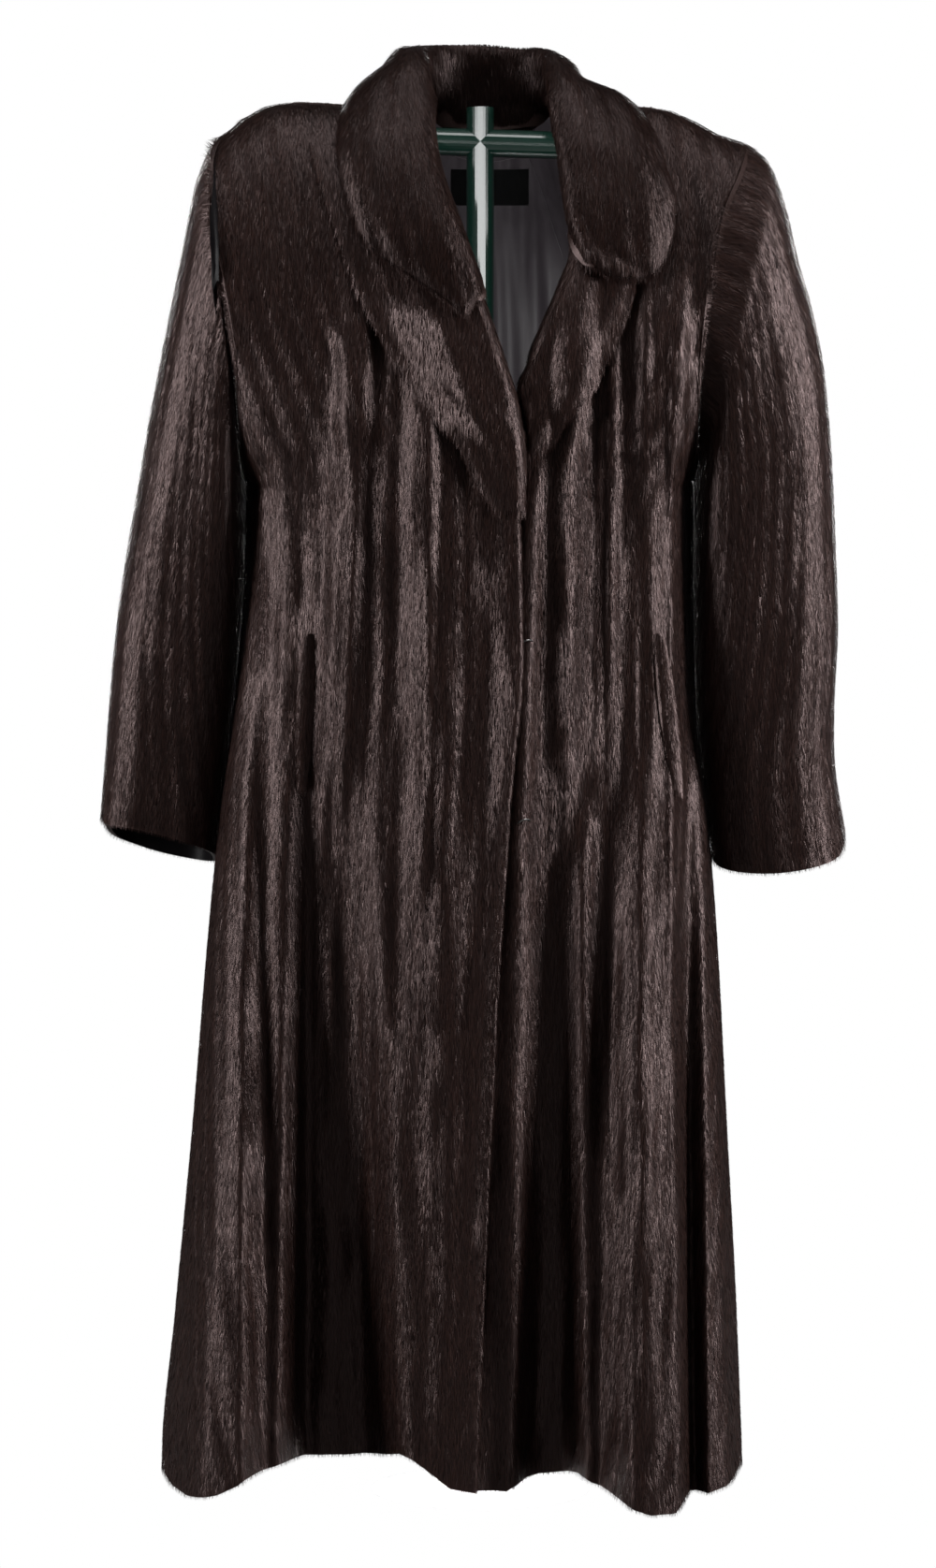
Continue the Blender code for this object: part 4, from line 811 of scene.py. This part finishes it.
def make_mesh(name, points, faces):
    """A mesh in metres from millimetre points and an array of faces with one number of corners."""
    mesh = bpy.data.meshes.new(name)
    mesh.vertices.add(len(points))
    mesh.vertices.foreach_set("co", ((points + [0, 0, COAT_ZERO]) * MM).astype(np.float32).ravel())
    mesh.loops.add(faces.size)
    mesh.loops.foreach_set("vertex_index", faces.astype(np.int32).ravel())
    mesh.polygons.add(len(faces))
    mesh.polygons.foreach_set("loop_start", np.arange(0, faces.size, faces.shape[1], dtype=np.int32))
    mesh.update(calc_edges=True)
    mesh.validate()
    return mesh


def signed_volume(points, faces):
    """The volume inside a mesh of quads, six times over: negative where they face inwards."""
    corners = points[faces]
    volume = np.sum(corners[:, 0] * np.cross(corners[:, 1], corners[:, 2]))
    return volume + np.sum(corners[:, 0] * np.cross(corners[:, 2], corners[:, 3]))


def seam_depth(points, axis):
    """The shells' depth over a grid that ends at an armhole, where it comes up to the seam."""
    far = arc_lengths(points, axis)
    far = far.take([-1], axis) - far
    return (SEAM_DEPTH + (SHELL_DEPTH - SEAM_DEPTH) * smooth(far / SEAM_REACH))[..., None]


def shell(name, surface_points, normals, materials, wrap=False, depth=SHELL_DEPTH, thick=SHELL_THICK):
    """A thin closed wall under a surface: the first material outside and on its rims, the second inside.

    The depth is one number or a grid of them. With wrap, the grid's last column is its first one."""
    outer = surface_points - normals * depth
    inner = outer - normals * thick
    rows, columns = outer.shape[:2]
    columns -= wrap
    outer, inner = outer[:, :columns], inner[:, :columns]
    count = rows * columns
    low = np.arange(columns if wrap else columns - 1)
    next_low = (low + 1) % columns
    i, j = np.meshgrid(np.arange(rows - 1), low, indexing="ij")
    a = (i * columns + j).ravel()
    b = (i * columns + (j + 1) % columns).ravel()
    inside = np.stack([a, b, b + columns, a + columns], 1)[:, ::-1] + count
    top = (rows - 1) * columns
    quads = [inside, inside[:, ::-1] - count,
             np.stack([low + count, next_low + count, next_low, low], 1),
             np.stack([low, next_low, next_low + count, low + count], 1) + top]
    if not wrap:
        up = np.arange(rows - 1) * columns
        quads.append(np.stack([up, up + columns, up + columns + count, up + count], 1))
        quads.append(np.stack([up + count, up + columns + count, up + columns, up], 1) + columns - 1)
    points = np.concatenate([outer.reshape(-1, 3), inner.reshape(-1, 3)])
    faces = np.concatenate(quads)
    mesh = make_mesh(name, points, faces)
    if signed_volume(points, faces) < 0:
        mesh.flip_normals()
    mesh.polygons.foreach_set("material_index", (np.arange(len(faces)) < len(inside)).astype(np.int32))
    mesh.shade_smooth()
    mesh.set_sharp_from_angle(angle=math.radians(60))
    return new_object(name, mesh, materials)


# ---------------------------------------------------------------------------------------------
# Materials.

FUR_BROWN = (0.014, 0.005, 0.004)
FUR_GLINT = (1, 0.73, 0.71, 1)          # the tint of the fur's gloss


def principled(name, colour, roughness, **values):
    """A new material, its node tree and its shader, with the shader's other values set by name."""
    material = bpy.data.materials.new(name)
    material.use_nodes = True
    shader = material.node_tree.nodes["Principled BSDF"]
    shader.inputs["Base Color"].default_value = (*colour, 1)
    shader.inputs["Roughness"].default_value = roughness
    for key, value in values.items():
        shader.inputs[key.replace("_", " ")].default_value = value
    return material, material.node_tree, shader


def shaded(colour, shade):
    return tuple(shade * part for part in colour)


def add(tree, kind, **values):
    """A new node with its properties set by name."""
    node = tree.nodes.new(kind)
    for key, value in values.items():
        setattr(node, key, value)
    return node


def ramp(tree, source, stops):
    """The colours at some stops, mixed between them by a value from 0 to 1."""
    node = tree.nodes.new("ShaderNodeValToRGB")
    elements = node.color_ramp.elements
    elements[0].position, elements[0].color = stops[0][0], (*stops[0][1], 1)
    elements[1].position, elements[1].color = stops[-1][0], (*stops[-1][1], 1)
    for position, colour in stops[1:-1]:
        elements.new(position).color = (*colour, 1)
    tree.links.new(source, node.inputs["Fac"])
    return node.outputs["Color"]


def texture(tree, kind, scale, stretch=None, **values):
    """A texture over the object's own coordinates, with its scale along each axis if it is stretched."""
    place = tree.nodes.new("ShaderNodeTexCoord").outputs["Object"]
    if stretch:
        mapping = tree.nodes.new("ShaderNodeMapping")
        mapping.inputs["Scale"].default_value = stretch
        tree.links.new(place, mapping.inputs["Vector"])
        place = mapping.outputs["Vector"]
    node = add(tree, kind, **values)
    node.inputs["Scale"].default_value = scale
    tree.links.new(place, node.inputs["Vector"])
    return node


def colour_by(tree, shader, source, stops):
    tree.links.new(ramp(tree, source, stops), shader.inputs["Base Color"])


def emboss(tree, shader, source, strength, distance):
    """Fine relief in the shading alone."""
    bump = tree.nodes.new("ShaderNodeBump")
    bump.inputs["Strength"].default_value = strength
    bump.inputs["Distance"].default_value = distance
    tree.links.new(source, bump.inputs["Height"])
    tree.links.new(bump.outputs["Normal"], shader.inputs["Normal"])


def hair_material(name, shade, gloss):
    """Glossy guard hair: near black at its root, dark brown along it, with dark and light hairs mixed; a
    shade below 1 darkens all of it as painted shade.
    """
    material, tree, shader = principled(name, FUR_BROWN, 0.43, Sheen_Weight=0.02, Sheen_Roughness=0.4,
                                        Sheen_Tint=(0.9, 0.82, 0.86, 1), Specular_IOR_Level=gloss,
                                        Specular_Tint=FUR_GLINT)
    tone = add(tree, "ShaderNodeVertexColor", layer_name="tone")
    parts = tree.nodes.new("ShaderNodeSeparateColor")
    tree.links.new(tone.outputs["Color"], parts.inputs["Color"])
    browns = [(0.0, shaded((0.004, 0.0012, 0.0007), shade)), (0.5, shaded((0.011, 0.0037, 0.0023), shade)),
              (1.0, shaded((0.028, 0.0115, 0.0078), shade))]
    mix = add(tree, "ShaderNodeMix", data_type="RGBA", blend_type="MULTIPLY")
    mix.inputs["Factor"].default_value = 1.0
    tree.links.new(ramp(tree, parts.outputs["Red"], browns), mix.inputs["A"])
    from_root = [(0.0, (0.45, 0.42, 0.40)), (1.0, (1.25, 1.2, 1.2))]
    tree.links.new(ramp(tree, parts.outputs["Green"], from_root), mix.inputs["B"])
    tree.links.new(mix.outputs["Result"], shader.inputs["Base Color"])
    return material


def pelt_material():
    """The dense underfur that shows between the hairs, in fine streaks down the coat."""
    material, tree, shader = principled("mink_underfur", FUR_BROWN, 0.45, Specular_IOR_Level=0.45,
                                        Specular_Tint=FUR_GLINT)
    streaks = texture(tree, "ShaderNodeTexNoise", 1.0, stretch=(1400, 1400, 80))
    streaks.inputs["Detail"].default_value = 3.0
    colour_by(tree, shader, streaks.outputs["Fac"],
              [(0.3, (0.004, 0.0013, 0.0008)), (0.7, (0.013, 0.0046, 0.0029))])
    emboss(tree, shader, streaks.outputs["Fac"], 0.35, 0.0006)
    return material


def satin_material(name, shade, gloss):
    """Dark taupe satin with a fine weave and long soft streaks; a shade below 1 darkens it and its sheen as
    painted shade.
    """
    material, tree, shader = principled(name, (0.05, 0.042, 0.047), 0.38, Sheen_Weight=0.2 * shade,
                                        Sheen_Roughness=0.3, Specular_IOR_Level=gloss)
    streaks = texture(tree, "ShaderNodeTexNoise", 1.0, stretch=(120, 120, 9))
    colour_by(tree, shader, streaks.outputs["Fac"],
              [(0.25, shaded((0.038, 0.031, 0.036), shade)), (0.75, shaded((0.062, 0.053, 0.060), shade))])
    weave = texture(tree, "ShaderNodeTexNoise", 2400.0)
    emboss(tree, shader, weave.outputs["Fac"], 0.12, 0.0005)
    return material


def enamel_material(name, colour, roughness):
    """Gloss enamel with a faint orange-peel ripple and a slightly uneven colour."""
    material, tree, shader = principled(name, colour, roughness, Coat_Weight=0.6, Coat_Roughness=0.08)
    ripple = texture(tree, "ShaderNodeTexNoise", 260.0)
    colour_by(tree, shader, ripple.outputs["Fac"], [(0.3, shaded(colour, 0.9)), (0.7, shaded(colour, 1.1))])
    emboss(tree, shader, ripple.outputs["Fac"], 0.05, 0.0004)
    return material


def tape_material():
    """Black woven tape: fine ribs over and under."""
    material, tree, shader = principled("woven_tape", (0.006, 0.006, 0.007), 0.55, Sheen_Weight=0.15)
    ribs = texture(tree, "ShaderNodeTexWave", 700.0, wave_type="BANDS", bands_direction="Z")
    colour_by(tree, shader, ribs.outputs["Color"],
              [(0.0, (0.004, 0.004, 0.005)), (1.0, (0.012, 0.012, 0.014))])
    emboss(tree, shader, ribs.outputs["Color"], 0.3, 0.0003)
    return material


def wire_material():
    """Dark steel wire, rubbed bright in spots."""
    material, tree, shader = principled("oxide_wire", (0.03, 0.028, 0.028), 0.35, Metallic=0.9)
    wear = texture(tree, "ShaderNodeTexNoise", 900.0)
    colour_by(tree, shader, wear.outputs["Fac"], [(0.35, (0.08, 0.078, 0.076)), (0.7, (0.34, 0.33, 0.32))])
    return material


HAIR = hair_material("mink_hair", 1.0, 0.5)
# The collar's hair is the same hair darkened to three quarters and with less gloss: painted shade, as its
# slopes face the lamps more than the body does.
COLLAR_HAIR_PAINTED_SHADE = hair_material("collar_hair", 0.75, 0.28)
PELT = pelt_material()
SATIN = satin_material("satin", 1.0, 0.6)
# The same satin darkened to under a tenth and near matt, for the pieces' inner faces: painted shade for the
# coat's dark inside.
SATIN_PAINTED_SHADE = satin_material("satin_in_painted_shade", 0.08, 0.05)
GREEN = enamel_material("dark_green_enamel", (0.006, 0.022, 0.016), 0.16)
PALE = enamel_material("pale_enamel", (0.86, 0.86, 0.86), 0.7)
TAPE = tape_material()
WIRE = wire_material()


# ---------------------------------------------------------------------------------------------
# Hair. Each hair is a sliver: a triangle with a narrow root and its tip.

HAIR_LENGTH = 9.0
HAIR_WIDTH = 0.62
HAIR_SINK = 0.7         # of the roots under the surface
HAIR_RISE = 0.11        # how steeply the hairs rise to their tips
HAIR_SPREAD = 0.12      # how far single hairs stray to the side
HAIR_TWIST = 0.35       # how far they turn about their own length
STRIP_WIDTH = 24.0      # of the strips of skin sewn side by side
# How far the shading of the hairs turns aside: each its own way, and by locks, patches and strips.
LEAN_OWN, LEAN_LOCK, LEAN_PATCH, LEAN_STRIP = 0.13, 0.10, 0.22, 0.13
LEAN_ALONG = 0.12       # and along the hair


def lattice_noise(x, y, rng, cells=64):
    """Smooth noise from 0 to 1 over x and y, one lattice cell for each unit."""
    grid = rng.random((cells, cells))
    i, j = np.floor(x).astype(int), np.floor(y).astype(int)
    a, b = smooth(x - i), smooth(y - j)
    low = grid[i % cells, j % cells] * (1 - a) + grid[(i + 1) % cells, j % cells] * a
    high = grid[i % cells, (j + 1) % cells] * (1 - a) + grid[(i + 1) % cells, (j + 1) % cells] * a
    return low * (1 - b) + high * b


def scatter(points, count, rng):
    """Places spread evenly over a grid's surface: each one's cell, and where it lies in the cell."""
    diagonals = points[1:, 1:] - points[:-1, :-1], points[1:, :-1] - points[:-1, 1:]
    area = np.linalg.norm(np.cross(*diagonals), axis=-1) / 2
    total = np.cumsum(area.ravel())
    pick = (np.arange(count) + rng.random(count)) / count * total[-1]
    i, j = np.divmod(np.minimum(np.searchsorted(total, pick), len(total) - 1), points.shape[1] - 1)
    return i, j, rng.random(count), rng.random(count)


def sample(grid, places):
    """A grid's values at scattered places."""
    i, j, a, b = places
    if grid.ndim == 3:
        a, b = a[:, None], b[:, None]
    low = grid[i, j] * (1 - b) + grid[i, j + 1] * b
    return low * (1 - a) + (grid[i + 1, j] * (1 - b) + grid[i + 1, j + 1] * b) * a


def fur_patterns(across, along, rng):
    """Locks, brushed patches and strips of the fur, about zero, from distances over the piece."""
    lock = lattice_noise(across / 5.0, along / 30.0, rng) - 0.5
    patch = lattice_noise(across / 22.0, along / 90.0, rng)
    patch = patch + lattice_noise(across / 9.0, along / 60.0, rng) - 1.0
    bend = 2.2 * lattice_noise(across / 80.0, along / 200.0, rng)
    return lock, patch, np.sin(2 * math.pi * across / STRIP_WIDTH + bend)


def set_tone(mesh, lock, rng):
    """A colour for the material: its red runs from dark to light hairs, its green from root to tip."""
    count = len(lock)
    tone = np.ones((count, 3, 4), np.float32)
    tone[..., 0] = np.clip(0.5 + 0.4 * lock + 0.2 * rng.normal(size=count), 0, 1)[:, None]
    tone[..., 1] = [0.0, 0.0, 1.0]
    mesh.color_attributes.new("tone", "FLOAT_COLOR", "POINT").data.foreach_set("color", tone.ravel())


def set_map(mesh, places, spans, flip):
    """The map that colours are kept in follows the piece, so that hairs side by side lie side by side."""
    i, j, a, b = places
    (rows, columns), (wide, tall) = spans
    place = np.stack([(j + b) / (columns - 1), (i + a) / (rows - 1)], 1)
    reach = np.array([HAIR_WIDTH / wide, HAIR_LENGTH / tall])
    uv = np.stack([place - [reach[0], 0], place + [reach[0], 0], place - [0, reach[1]]], 1)
    uv[flip] = uv[flip][:, [1, 0, 2]]
    mesh.uv_layers.new(name="OFBake").data.foreach_set("uv", (0.02 + 0.94 * uv).astype(np.float32).ravel())


def hair(name, points, normals, lay, count, seed, sink=HAIR_SINK, hem=True, combed=None, material=HAIR):
    """Hairs spread evenly over a surface, lying along lay and rising a little to their tips.

    Row 0 is the lower edge: with hem, the hairs next to it end just past it."""
    rng = np.random.default_rng(seed)
    places = scatter(points, count, rng)
    root, normal, way = sample(points, places), unit(sample(normals, places)), unit(sample(lay, places))
    far_across, far_along = arc_lengths(points, 1), arc_lengths(points, 0)
    across, along = sample(far_across, places), sample(far_along, places)
    long = HAIR_LENGTH * (0.75 + 0.5 * rng.random(count))
    if hem:
        short = np.maximum(0.80 * long - 1.5 * rng.random(count) - along, 0)
        root = root - way * short[:, None]
    lock, patch, strip = fur_patterns(across, along, rng)
    side = unit(np.cross(way, normal))
    sway = HAIR_SPREAD * rng.normal(size=count) + 0.10 * lock + 0.03 * strip
    up = HAIR_RISE * (0.6 + 0.8 * rng.random(count))
    way = unit(way + side * sway[:, None] + normal * up[:, None])
    side = unit(np.cross(way, normal))
    root = root - normal * sink
    tip = root + way * long[:, None]
    twist = HAIR_TWIST * rng.normal(size=count)
    half_width = HAIR_WIDTH / 2 * (0.7 + 0.6 * rng.random(count))
    half = unit(side + normal * twist[:, None]) * half_width[:, None]
    corners = np.stack([root - half, root + half, tip], axis=1)
    facing = np.sum(np.cross(corners[:, 1] - corners[:, 0], corners[:, 2] - corners[:, 0]) * normal, -1)
    flip = facing < 0
    corners[flip] = corners[flip][:, [1, 0, 2]]
    mesh = make_mesh(name, corners.reshape(-1, 3), np.arange(count * 3).reshape(-1, 3))
    # Shaded as the coat's own surface, each hair, lock and strip turned a little its own way.
    lean = LEAN_OWN * rng.normal(size=count) + LEAN_LOCK * lock + LEAN_PATCH * patch + LEAN_STRIP * strip
    if combed:
        lean += combed(root[:, 0], root[:, 2]) * np.clip(0.9 + 1.2 * patch + 0.8 * lock, 0, 2)
    bent = unit(normal + side * lean[:, None] + way * (LEAN_ALONG * rng.normal(size=count))[:, None])
    mesh.normals_split_custom_set_from_vertices(np.repeat(bent, 3, axis=0).tolist())
    set_tone(mesh, lock, rng)
    set_map(mesh, places, (points.shape[:2], (far_across.max(), far_along.max())), flip)
    return new_object(name, mesh, [material])


# ---------------------------------------------------------------------------------------------
# The pieces.

WEARER = {RIGHT: "right", LEFT: "left"}
# How deep the pelts of the pieces with fur all round lie, and how thick they are.
COLLAR_PELT, LAPEL_PELT, WELT_PELT = (1.2, 0.8), (0.7, 0.5), (0.6, 0.4)
WELT_FACING = np.array([0, -1.5, 0])    # turns the welts' shading towards that of the panel round them
WELT_SUNK = np.array([0, 1.8, 0])       # the welts' fur starts in that of the panel
SEAM_UNDERLAP = 4.5                     # how far the back's pelt reaches under the fronts
# The body panels' fine grids: rows, and columns of a front and of half the back.
PANEL_ROWS, FRONT_FINE, BACK_FINE = 193, 121, 91
# How many hairs each piece has, under a million triangles with the pelts, and its random seed.
HAIRS = {"front": 178000, "back": 156000, "sleeve": 92000, "collar": 90000, "lapel": 24000, "welt": 3000}
SEEDS = {"front": 11, "back": 21, "sleeve": 31, "collar": 41, "lapel": 51, "welt": 61}

fronts = {side: front_grid(side) for side in (RIGHT, LEFT)}
trees = {side: search_tree(fronts[side]) for side in (RIGHT, LEFT)}
lapels = {side: lapel_rings(side, fronts[side], trees[side]) for side in (RIGHT, LEFT)}


def dress(node):
    """Hides the solid of a node, for the pelt and hair made in its place."""
    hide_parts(node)


def downward(points, normals):
    """The way hair lies: straight down over the surface."""
    down = np.broadcast_to(np.array([0, 0, -1.0]), points.shape)
    return unit(down - normals * np.sum(down * normals, -1, keepdims=True))


def make_fronts():
    for side in (RIGHT, LEFT):
        node = WEARER[side] + "_front"
        points = panel_surface(side, PANEL_ROWS, FRONT_FINE, behind=False)
        points, normals = rounded(points, outward(points, BODY_MIDDLE))
        coarse, ways = points[::2, 3::2], normals[::2, 3::2]
        # Inside, the pelt takes the satin darkened as painted shade.
        pelt = shell(node + "_pelt", coarse, ways, [PELT, SATIN_PAINTED_SHADE], depth=seam_depth(coarse, 1))
        fur = hair(node + "_hair", points, normals, downward(points, normals), HAIRS["front"],
                   SEEDS["front"] + side, combed=brushed)
        dress(node)


def make_back():
    right, left = (panel_surface(side, PANEL_ROWS, BACK_FINE, behind=True) for side in (RIGHT, LEFT))
    points = np.concatenate([right[:, ::-1], left[:, 1:]], axis=1)
    normals = outward(points, BODY_MIDDLE)
    coarse = points[::2, ::2].copy()
    for edge, inner in ((0, 1), (-1, -2)):
        coarse[:, edge] += SEAM_UNDERLAP * unit(coarse[:, edge] - coarse[:, inner])
    pelt = shell("back_pelt", coarse, normals[::2, ::2], [PELT, SATIN])
    fur = hair("back_hair", points, normals, downward(points, normals), HAIRS["back"], SEEDS["back"],
               combed=brushed)
    dress("back")


def make_sleeves():
    for side in (RIGHT, LEFT):
        node = WEARER[side] + "_sleeve"
        points = sleeve_surface(side, 8, 97)
        normals = outward(points, points.mean(axis=(0, 1)))
        coarse, ways = points[::2, ::2], normals[::2, ::2]
        # Inside, the pelt takes the satin darkened as painted shade.
        pelt = shell(node + "_pelt", coarse, ways, [PELT, SATIN_PAINTED_SHADE], wrap=True,
                     depth=seam_depth(coarse, 0))
        down_rows = unit(-np.gradient(points, axis=0))
        fur = hair(node + "_hair", points, normals, down_rows, HAIRS["sleeve"], SEEDS["sleeve"] + side)
        dress(node)


def make_rolled(node, rings, steps, pelt_size, rests_on, count, seed, facing=None, **looks):
    """A piece with fur all round, from closed rings; its pelt takes one ring and point in so many."""
    depth, thick = pelt_size
    normals = outward(rings, rings.mean(axis=1, keepdims=True))
    every = np.s_[::steps[0], ::steps[1]]
    pelt = shell(node + "_pelt", rings[every], normals[every], [PELT, PELT], wrap=True, depth=depth,
                 thick=thick)
    lay = downward(rings, normals)
    if facing is not None:
        normals = unit(normals + facing)
    fur = hair(node + "_hair", rings, normals, lay, count, seed, hem=False, **looks)
    dress(node)


def closed_ends(rings, reach=3.0):
    """Rings with one more at each end, drawn in to the middle, so that the fur closes over both ends."""
    added = []
    for end, before in ((rings[0], rings[1]), (rings[-1], rings[-2])):
        middle = end.mean(axis=0)
        added.append(middle + (end - middle) * 0.3 + unit((end - before).mean(axis=0)) * reach)
    return np.concatenate([added[0][None], rings, added[1][None]])


def make_collar():
    under = [search_tree(fronts[RIGHT], fronts[LEFT], back_grid())]
    under += [search_tree(lapel_top(lapels[side])) for side in (RIGHT, LEFT)]
    collar = push_clear(collar_rings(under), under, COLLAR_GAP)
    # The collar's fur takes the darkened hair, a painted shade.
    make_rolled("collar", finer_rings(closed_ends(collar), 3, 3), (1, 2), COLLAR_PELT,
                ["back", "right_front", "left_front"], HAIRS["collar"], SEEDS["collar"], material=COLLAR_HAIR_PAINTED_SHADE)


def thinned_end(rings):
    """A lapel's rings with one more past its top end, thin and close to the panel, so that it runs out."""
    end = rings[-1] + unit(rings[-1] - rings[-2]) * 9.0
    under = end[:-LAPEL_STEPS - 1:-1]
    end[:LAPEL_STEPS] = under * 0.7 + end[:LAPEL_STEPS] * 0.3
    return np.concatenate([rings, end[None]])


def make_lapels():
    for side in (RIGHT, LEFT):
        make_rolled(WEARER[side] + "_lapel", finer_rings(thinned_end(lapels[side]), 3, 2), (2, 2), LAPEL_PELT,
                    [WEARER[side] + "_front"], HAIRS["lapel"], SEEDS["lapel"] + side, sink=0.4,
                    combed=brushed)


def make_welts():
    for side in (RIGHT, LEFT):
        rings = finer_rings(welt_rings(side, trees[side]), 3, 3) + WELT_SUNK
        make_rolled(WEARER[side] + "_pocket_welt", rings, (1, 1), WELT_PELT, [WEARER[side] + "_front"],
                    HAIRS["welt"], SEEDS["welt"] + side, facing=WELT_FACING, sink=0.3)


def make_lining():
    inner = finer_both(lining_grid(), 5, 4)
    normals = outward(inner, BODY_MIDDLE + [0, 400, 0])
    # Two sets of fine pleats, which wander a little on their way down.
    fold = 1.1 * np.sin(inner[..., 0] / 5.3 + 1.5 * np.sin(inner[..., 2] / 130.0))
    fold = fold + 0.7 * np.sin(inner[..., 0] / 2.9 + 2.0 * np.sin(inner[..., 2] / 90.0))
    inner = inner + normals * fold[..., None]
    piece = shell("back_lining_satin", inner, normals, [SATIN, SATIN], depth=0.0, thick=1.2)
    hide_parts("back_lining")


def finish_carried_nodes():
    """The stand, the hooks and the label keep their solids and take real finishes."""
    for node, material in (("stand_frame", GREEN), ("stand_base", PALE), ("hook_upper", WIRE),
                           ("hook_lower", WIRE), ("neck_label", TAPE)):
        obj = frame["nodes"][node]
        obj.data.materials.clear()
        obj.data.materials.append(material)


# ---------------------------------------------------------------------------------------------
# The studio.

CAMERA = (-0.011, -4.0, 0.755)
AIM = (-0.011, 0.0, 0.643)
FOCAL = 101.07
WORLD_LIGHT = 0.06
FLOOR_GREY = (0.2, 0.2, 0.2)


def make_floor():
    """A pale floor that the camera sees as white as the room, with the light of a pale floor on the coat."""
    mesh = bpy.data.meshes.new("floor")
    mesh.from_pydata([(-9, -9, 0), (9, -9, 0), (9, 9, 0), (-9, 9, 0)], [], [(0, 1, 2, 3)])
    floor = bpy.data.objects.new("floor", mesh)
    material, tree, shader = principled("floor_white", FLOOR_GREY, 0.9)
    path = tree.nodes.new("ShaderNodeLightPath")
    glow = tree.nodes.new("ShaderNodeEmission")
    mix = tree.nodes.new("ShaderNodeMixShader")
    tree.links.new(path.outputs["Is Camera Ray"], mix.inputs["Fac"])
    tree.links.new(shader.outputs["BSDF"], mix.inputs[1])
    tree.links.new(glow.outputs["Emission"], mix.inputs[2])
    tree.links.new(mix.outputs["Shader"], tree.nodes["Material Output"].inputs["Surface"])
    mesh.materials.append(material)
    bpy.context.scene.collection.objects.link(floor)


def make_world():
    """A white room, seen as white, that lights the coat only a little."""
    world = bpy.data.worlds.new("studio")
    bpy.context.scene.world = world
    world.use_nodes = True
    tree = world.node_tree
    background = tree.nodes["Background"]
    background.inputs["Color"].default_value = (1, 1, 1, 1)
    path = tree.nodes.new("ShaderNodeLightPath")
    strength = tree.nodes.new("ShaderNodeMapRange")
    strength.inputs["To Min"].default_value = WORLD_LIGHT
    strength.inputs["To Max"].default_value = 1.0
    tree.links.new(path.outputs["Is Camera Ray"], strength.inputs["Value"])
    tree.links.new(strength.outputs["Result"], background.inputs["Strength"])


def place_and_aim(name, data, place, aim):
    obj = bpy.data.objects.new(name, data)
    obj.location = place
    obj.rotation_euler = (Vector(aim) - Vector(place)).to_track_quat("-Z", "Y").to_euler()
    bpy.context.scene.collection.objects.link(obj)
    return obj


def make_light(name, place, aim, size, power, only=()):
    """An area light, which lights only some of the objects if they are named."""
    data = bpy.data.lights.new(name, "AREA")
    data.shape = "RECTANGLE"
    data.size, data.size_y = size
    data.energy = power
    light = place_and_aim(name, data, place, aim)
    if only:
        lit = bpy.data.collections.new(name + "_lights")
        for obj in only:
            lit.objects.link(obj)
        light.light_linking.receiver_collection = lit
        light.light_linking.blocker_collection = lit


def make_lights():
    """Soft banks at the sides, above and behind, and three for what the coat would leave black."""
    pieces, nodes = bpy.data.objects, frame["nodes"]
    bank, body = (0.7, 1.8), (0, 0, 0.8)
    make_light("left_bank", (-2.9, -1.0, 1.5), body, bank, 122)
    make_light("right_bank", (2.9, -0.9, 1.5), body, bank, 165)
    make_light("top_bank", (0, -0.6, 3.0), (0, 0, 0.9), (1.6, 0.6), 20)
    behind = [pieces[name] for name in ("back_pelt", "back_hair", "collar_pelt", "collar_hair",
                                        "right_sleeve_hair", "left_sleeve_hair")]
    for x in (-1.5, 1.5):
        make_light("back_bank", (x, 3.2, 1.7), (0, 0, 0.7), bank, 120, behind)
    make_light("pole_strip", (0, -4.2, 1.5), (0, 0, 1.3), (14.0, 0.8), 320, [nodes["stand_frame"]])
    neck = [pieces["back_lining_satin"], pieces["back_pelt"], nodes["hook_upper"], nodes["hook_lower"]]
    make_light("neck_light", (0, -2.6, 2.0), (0, 0, 1.1), (0.6, 0.6), 36, neck)
    make_light("base_light", (0, -1.0, 0.9), (0, 0, 0), (0.8, 0.3), 90, [nodes["stand_base"]])


def make_camera():
    data = bpy.data.cameras.new("camera")
    data.sensor_fit = "VERTICAL"
    data.sensor_height = 36.0
    data.lens = FOCAL
    bpy.context.scene.camera = place_and_aim("camera", data, CAMERA, AIM)


make_fronts()
make_back()
make_sleeves()
make_collar()
make_lapels()
make_welts()
make_lining()
finish_carried_nodes()
make_floor()
make_world()
make_lights()
make_camera()
bpy.context.scene.view_settings.view_transform = "Standard"
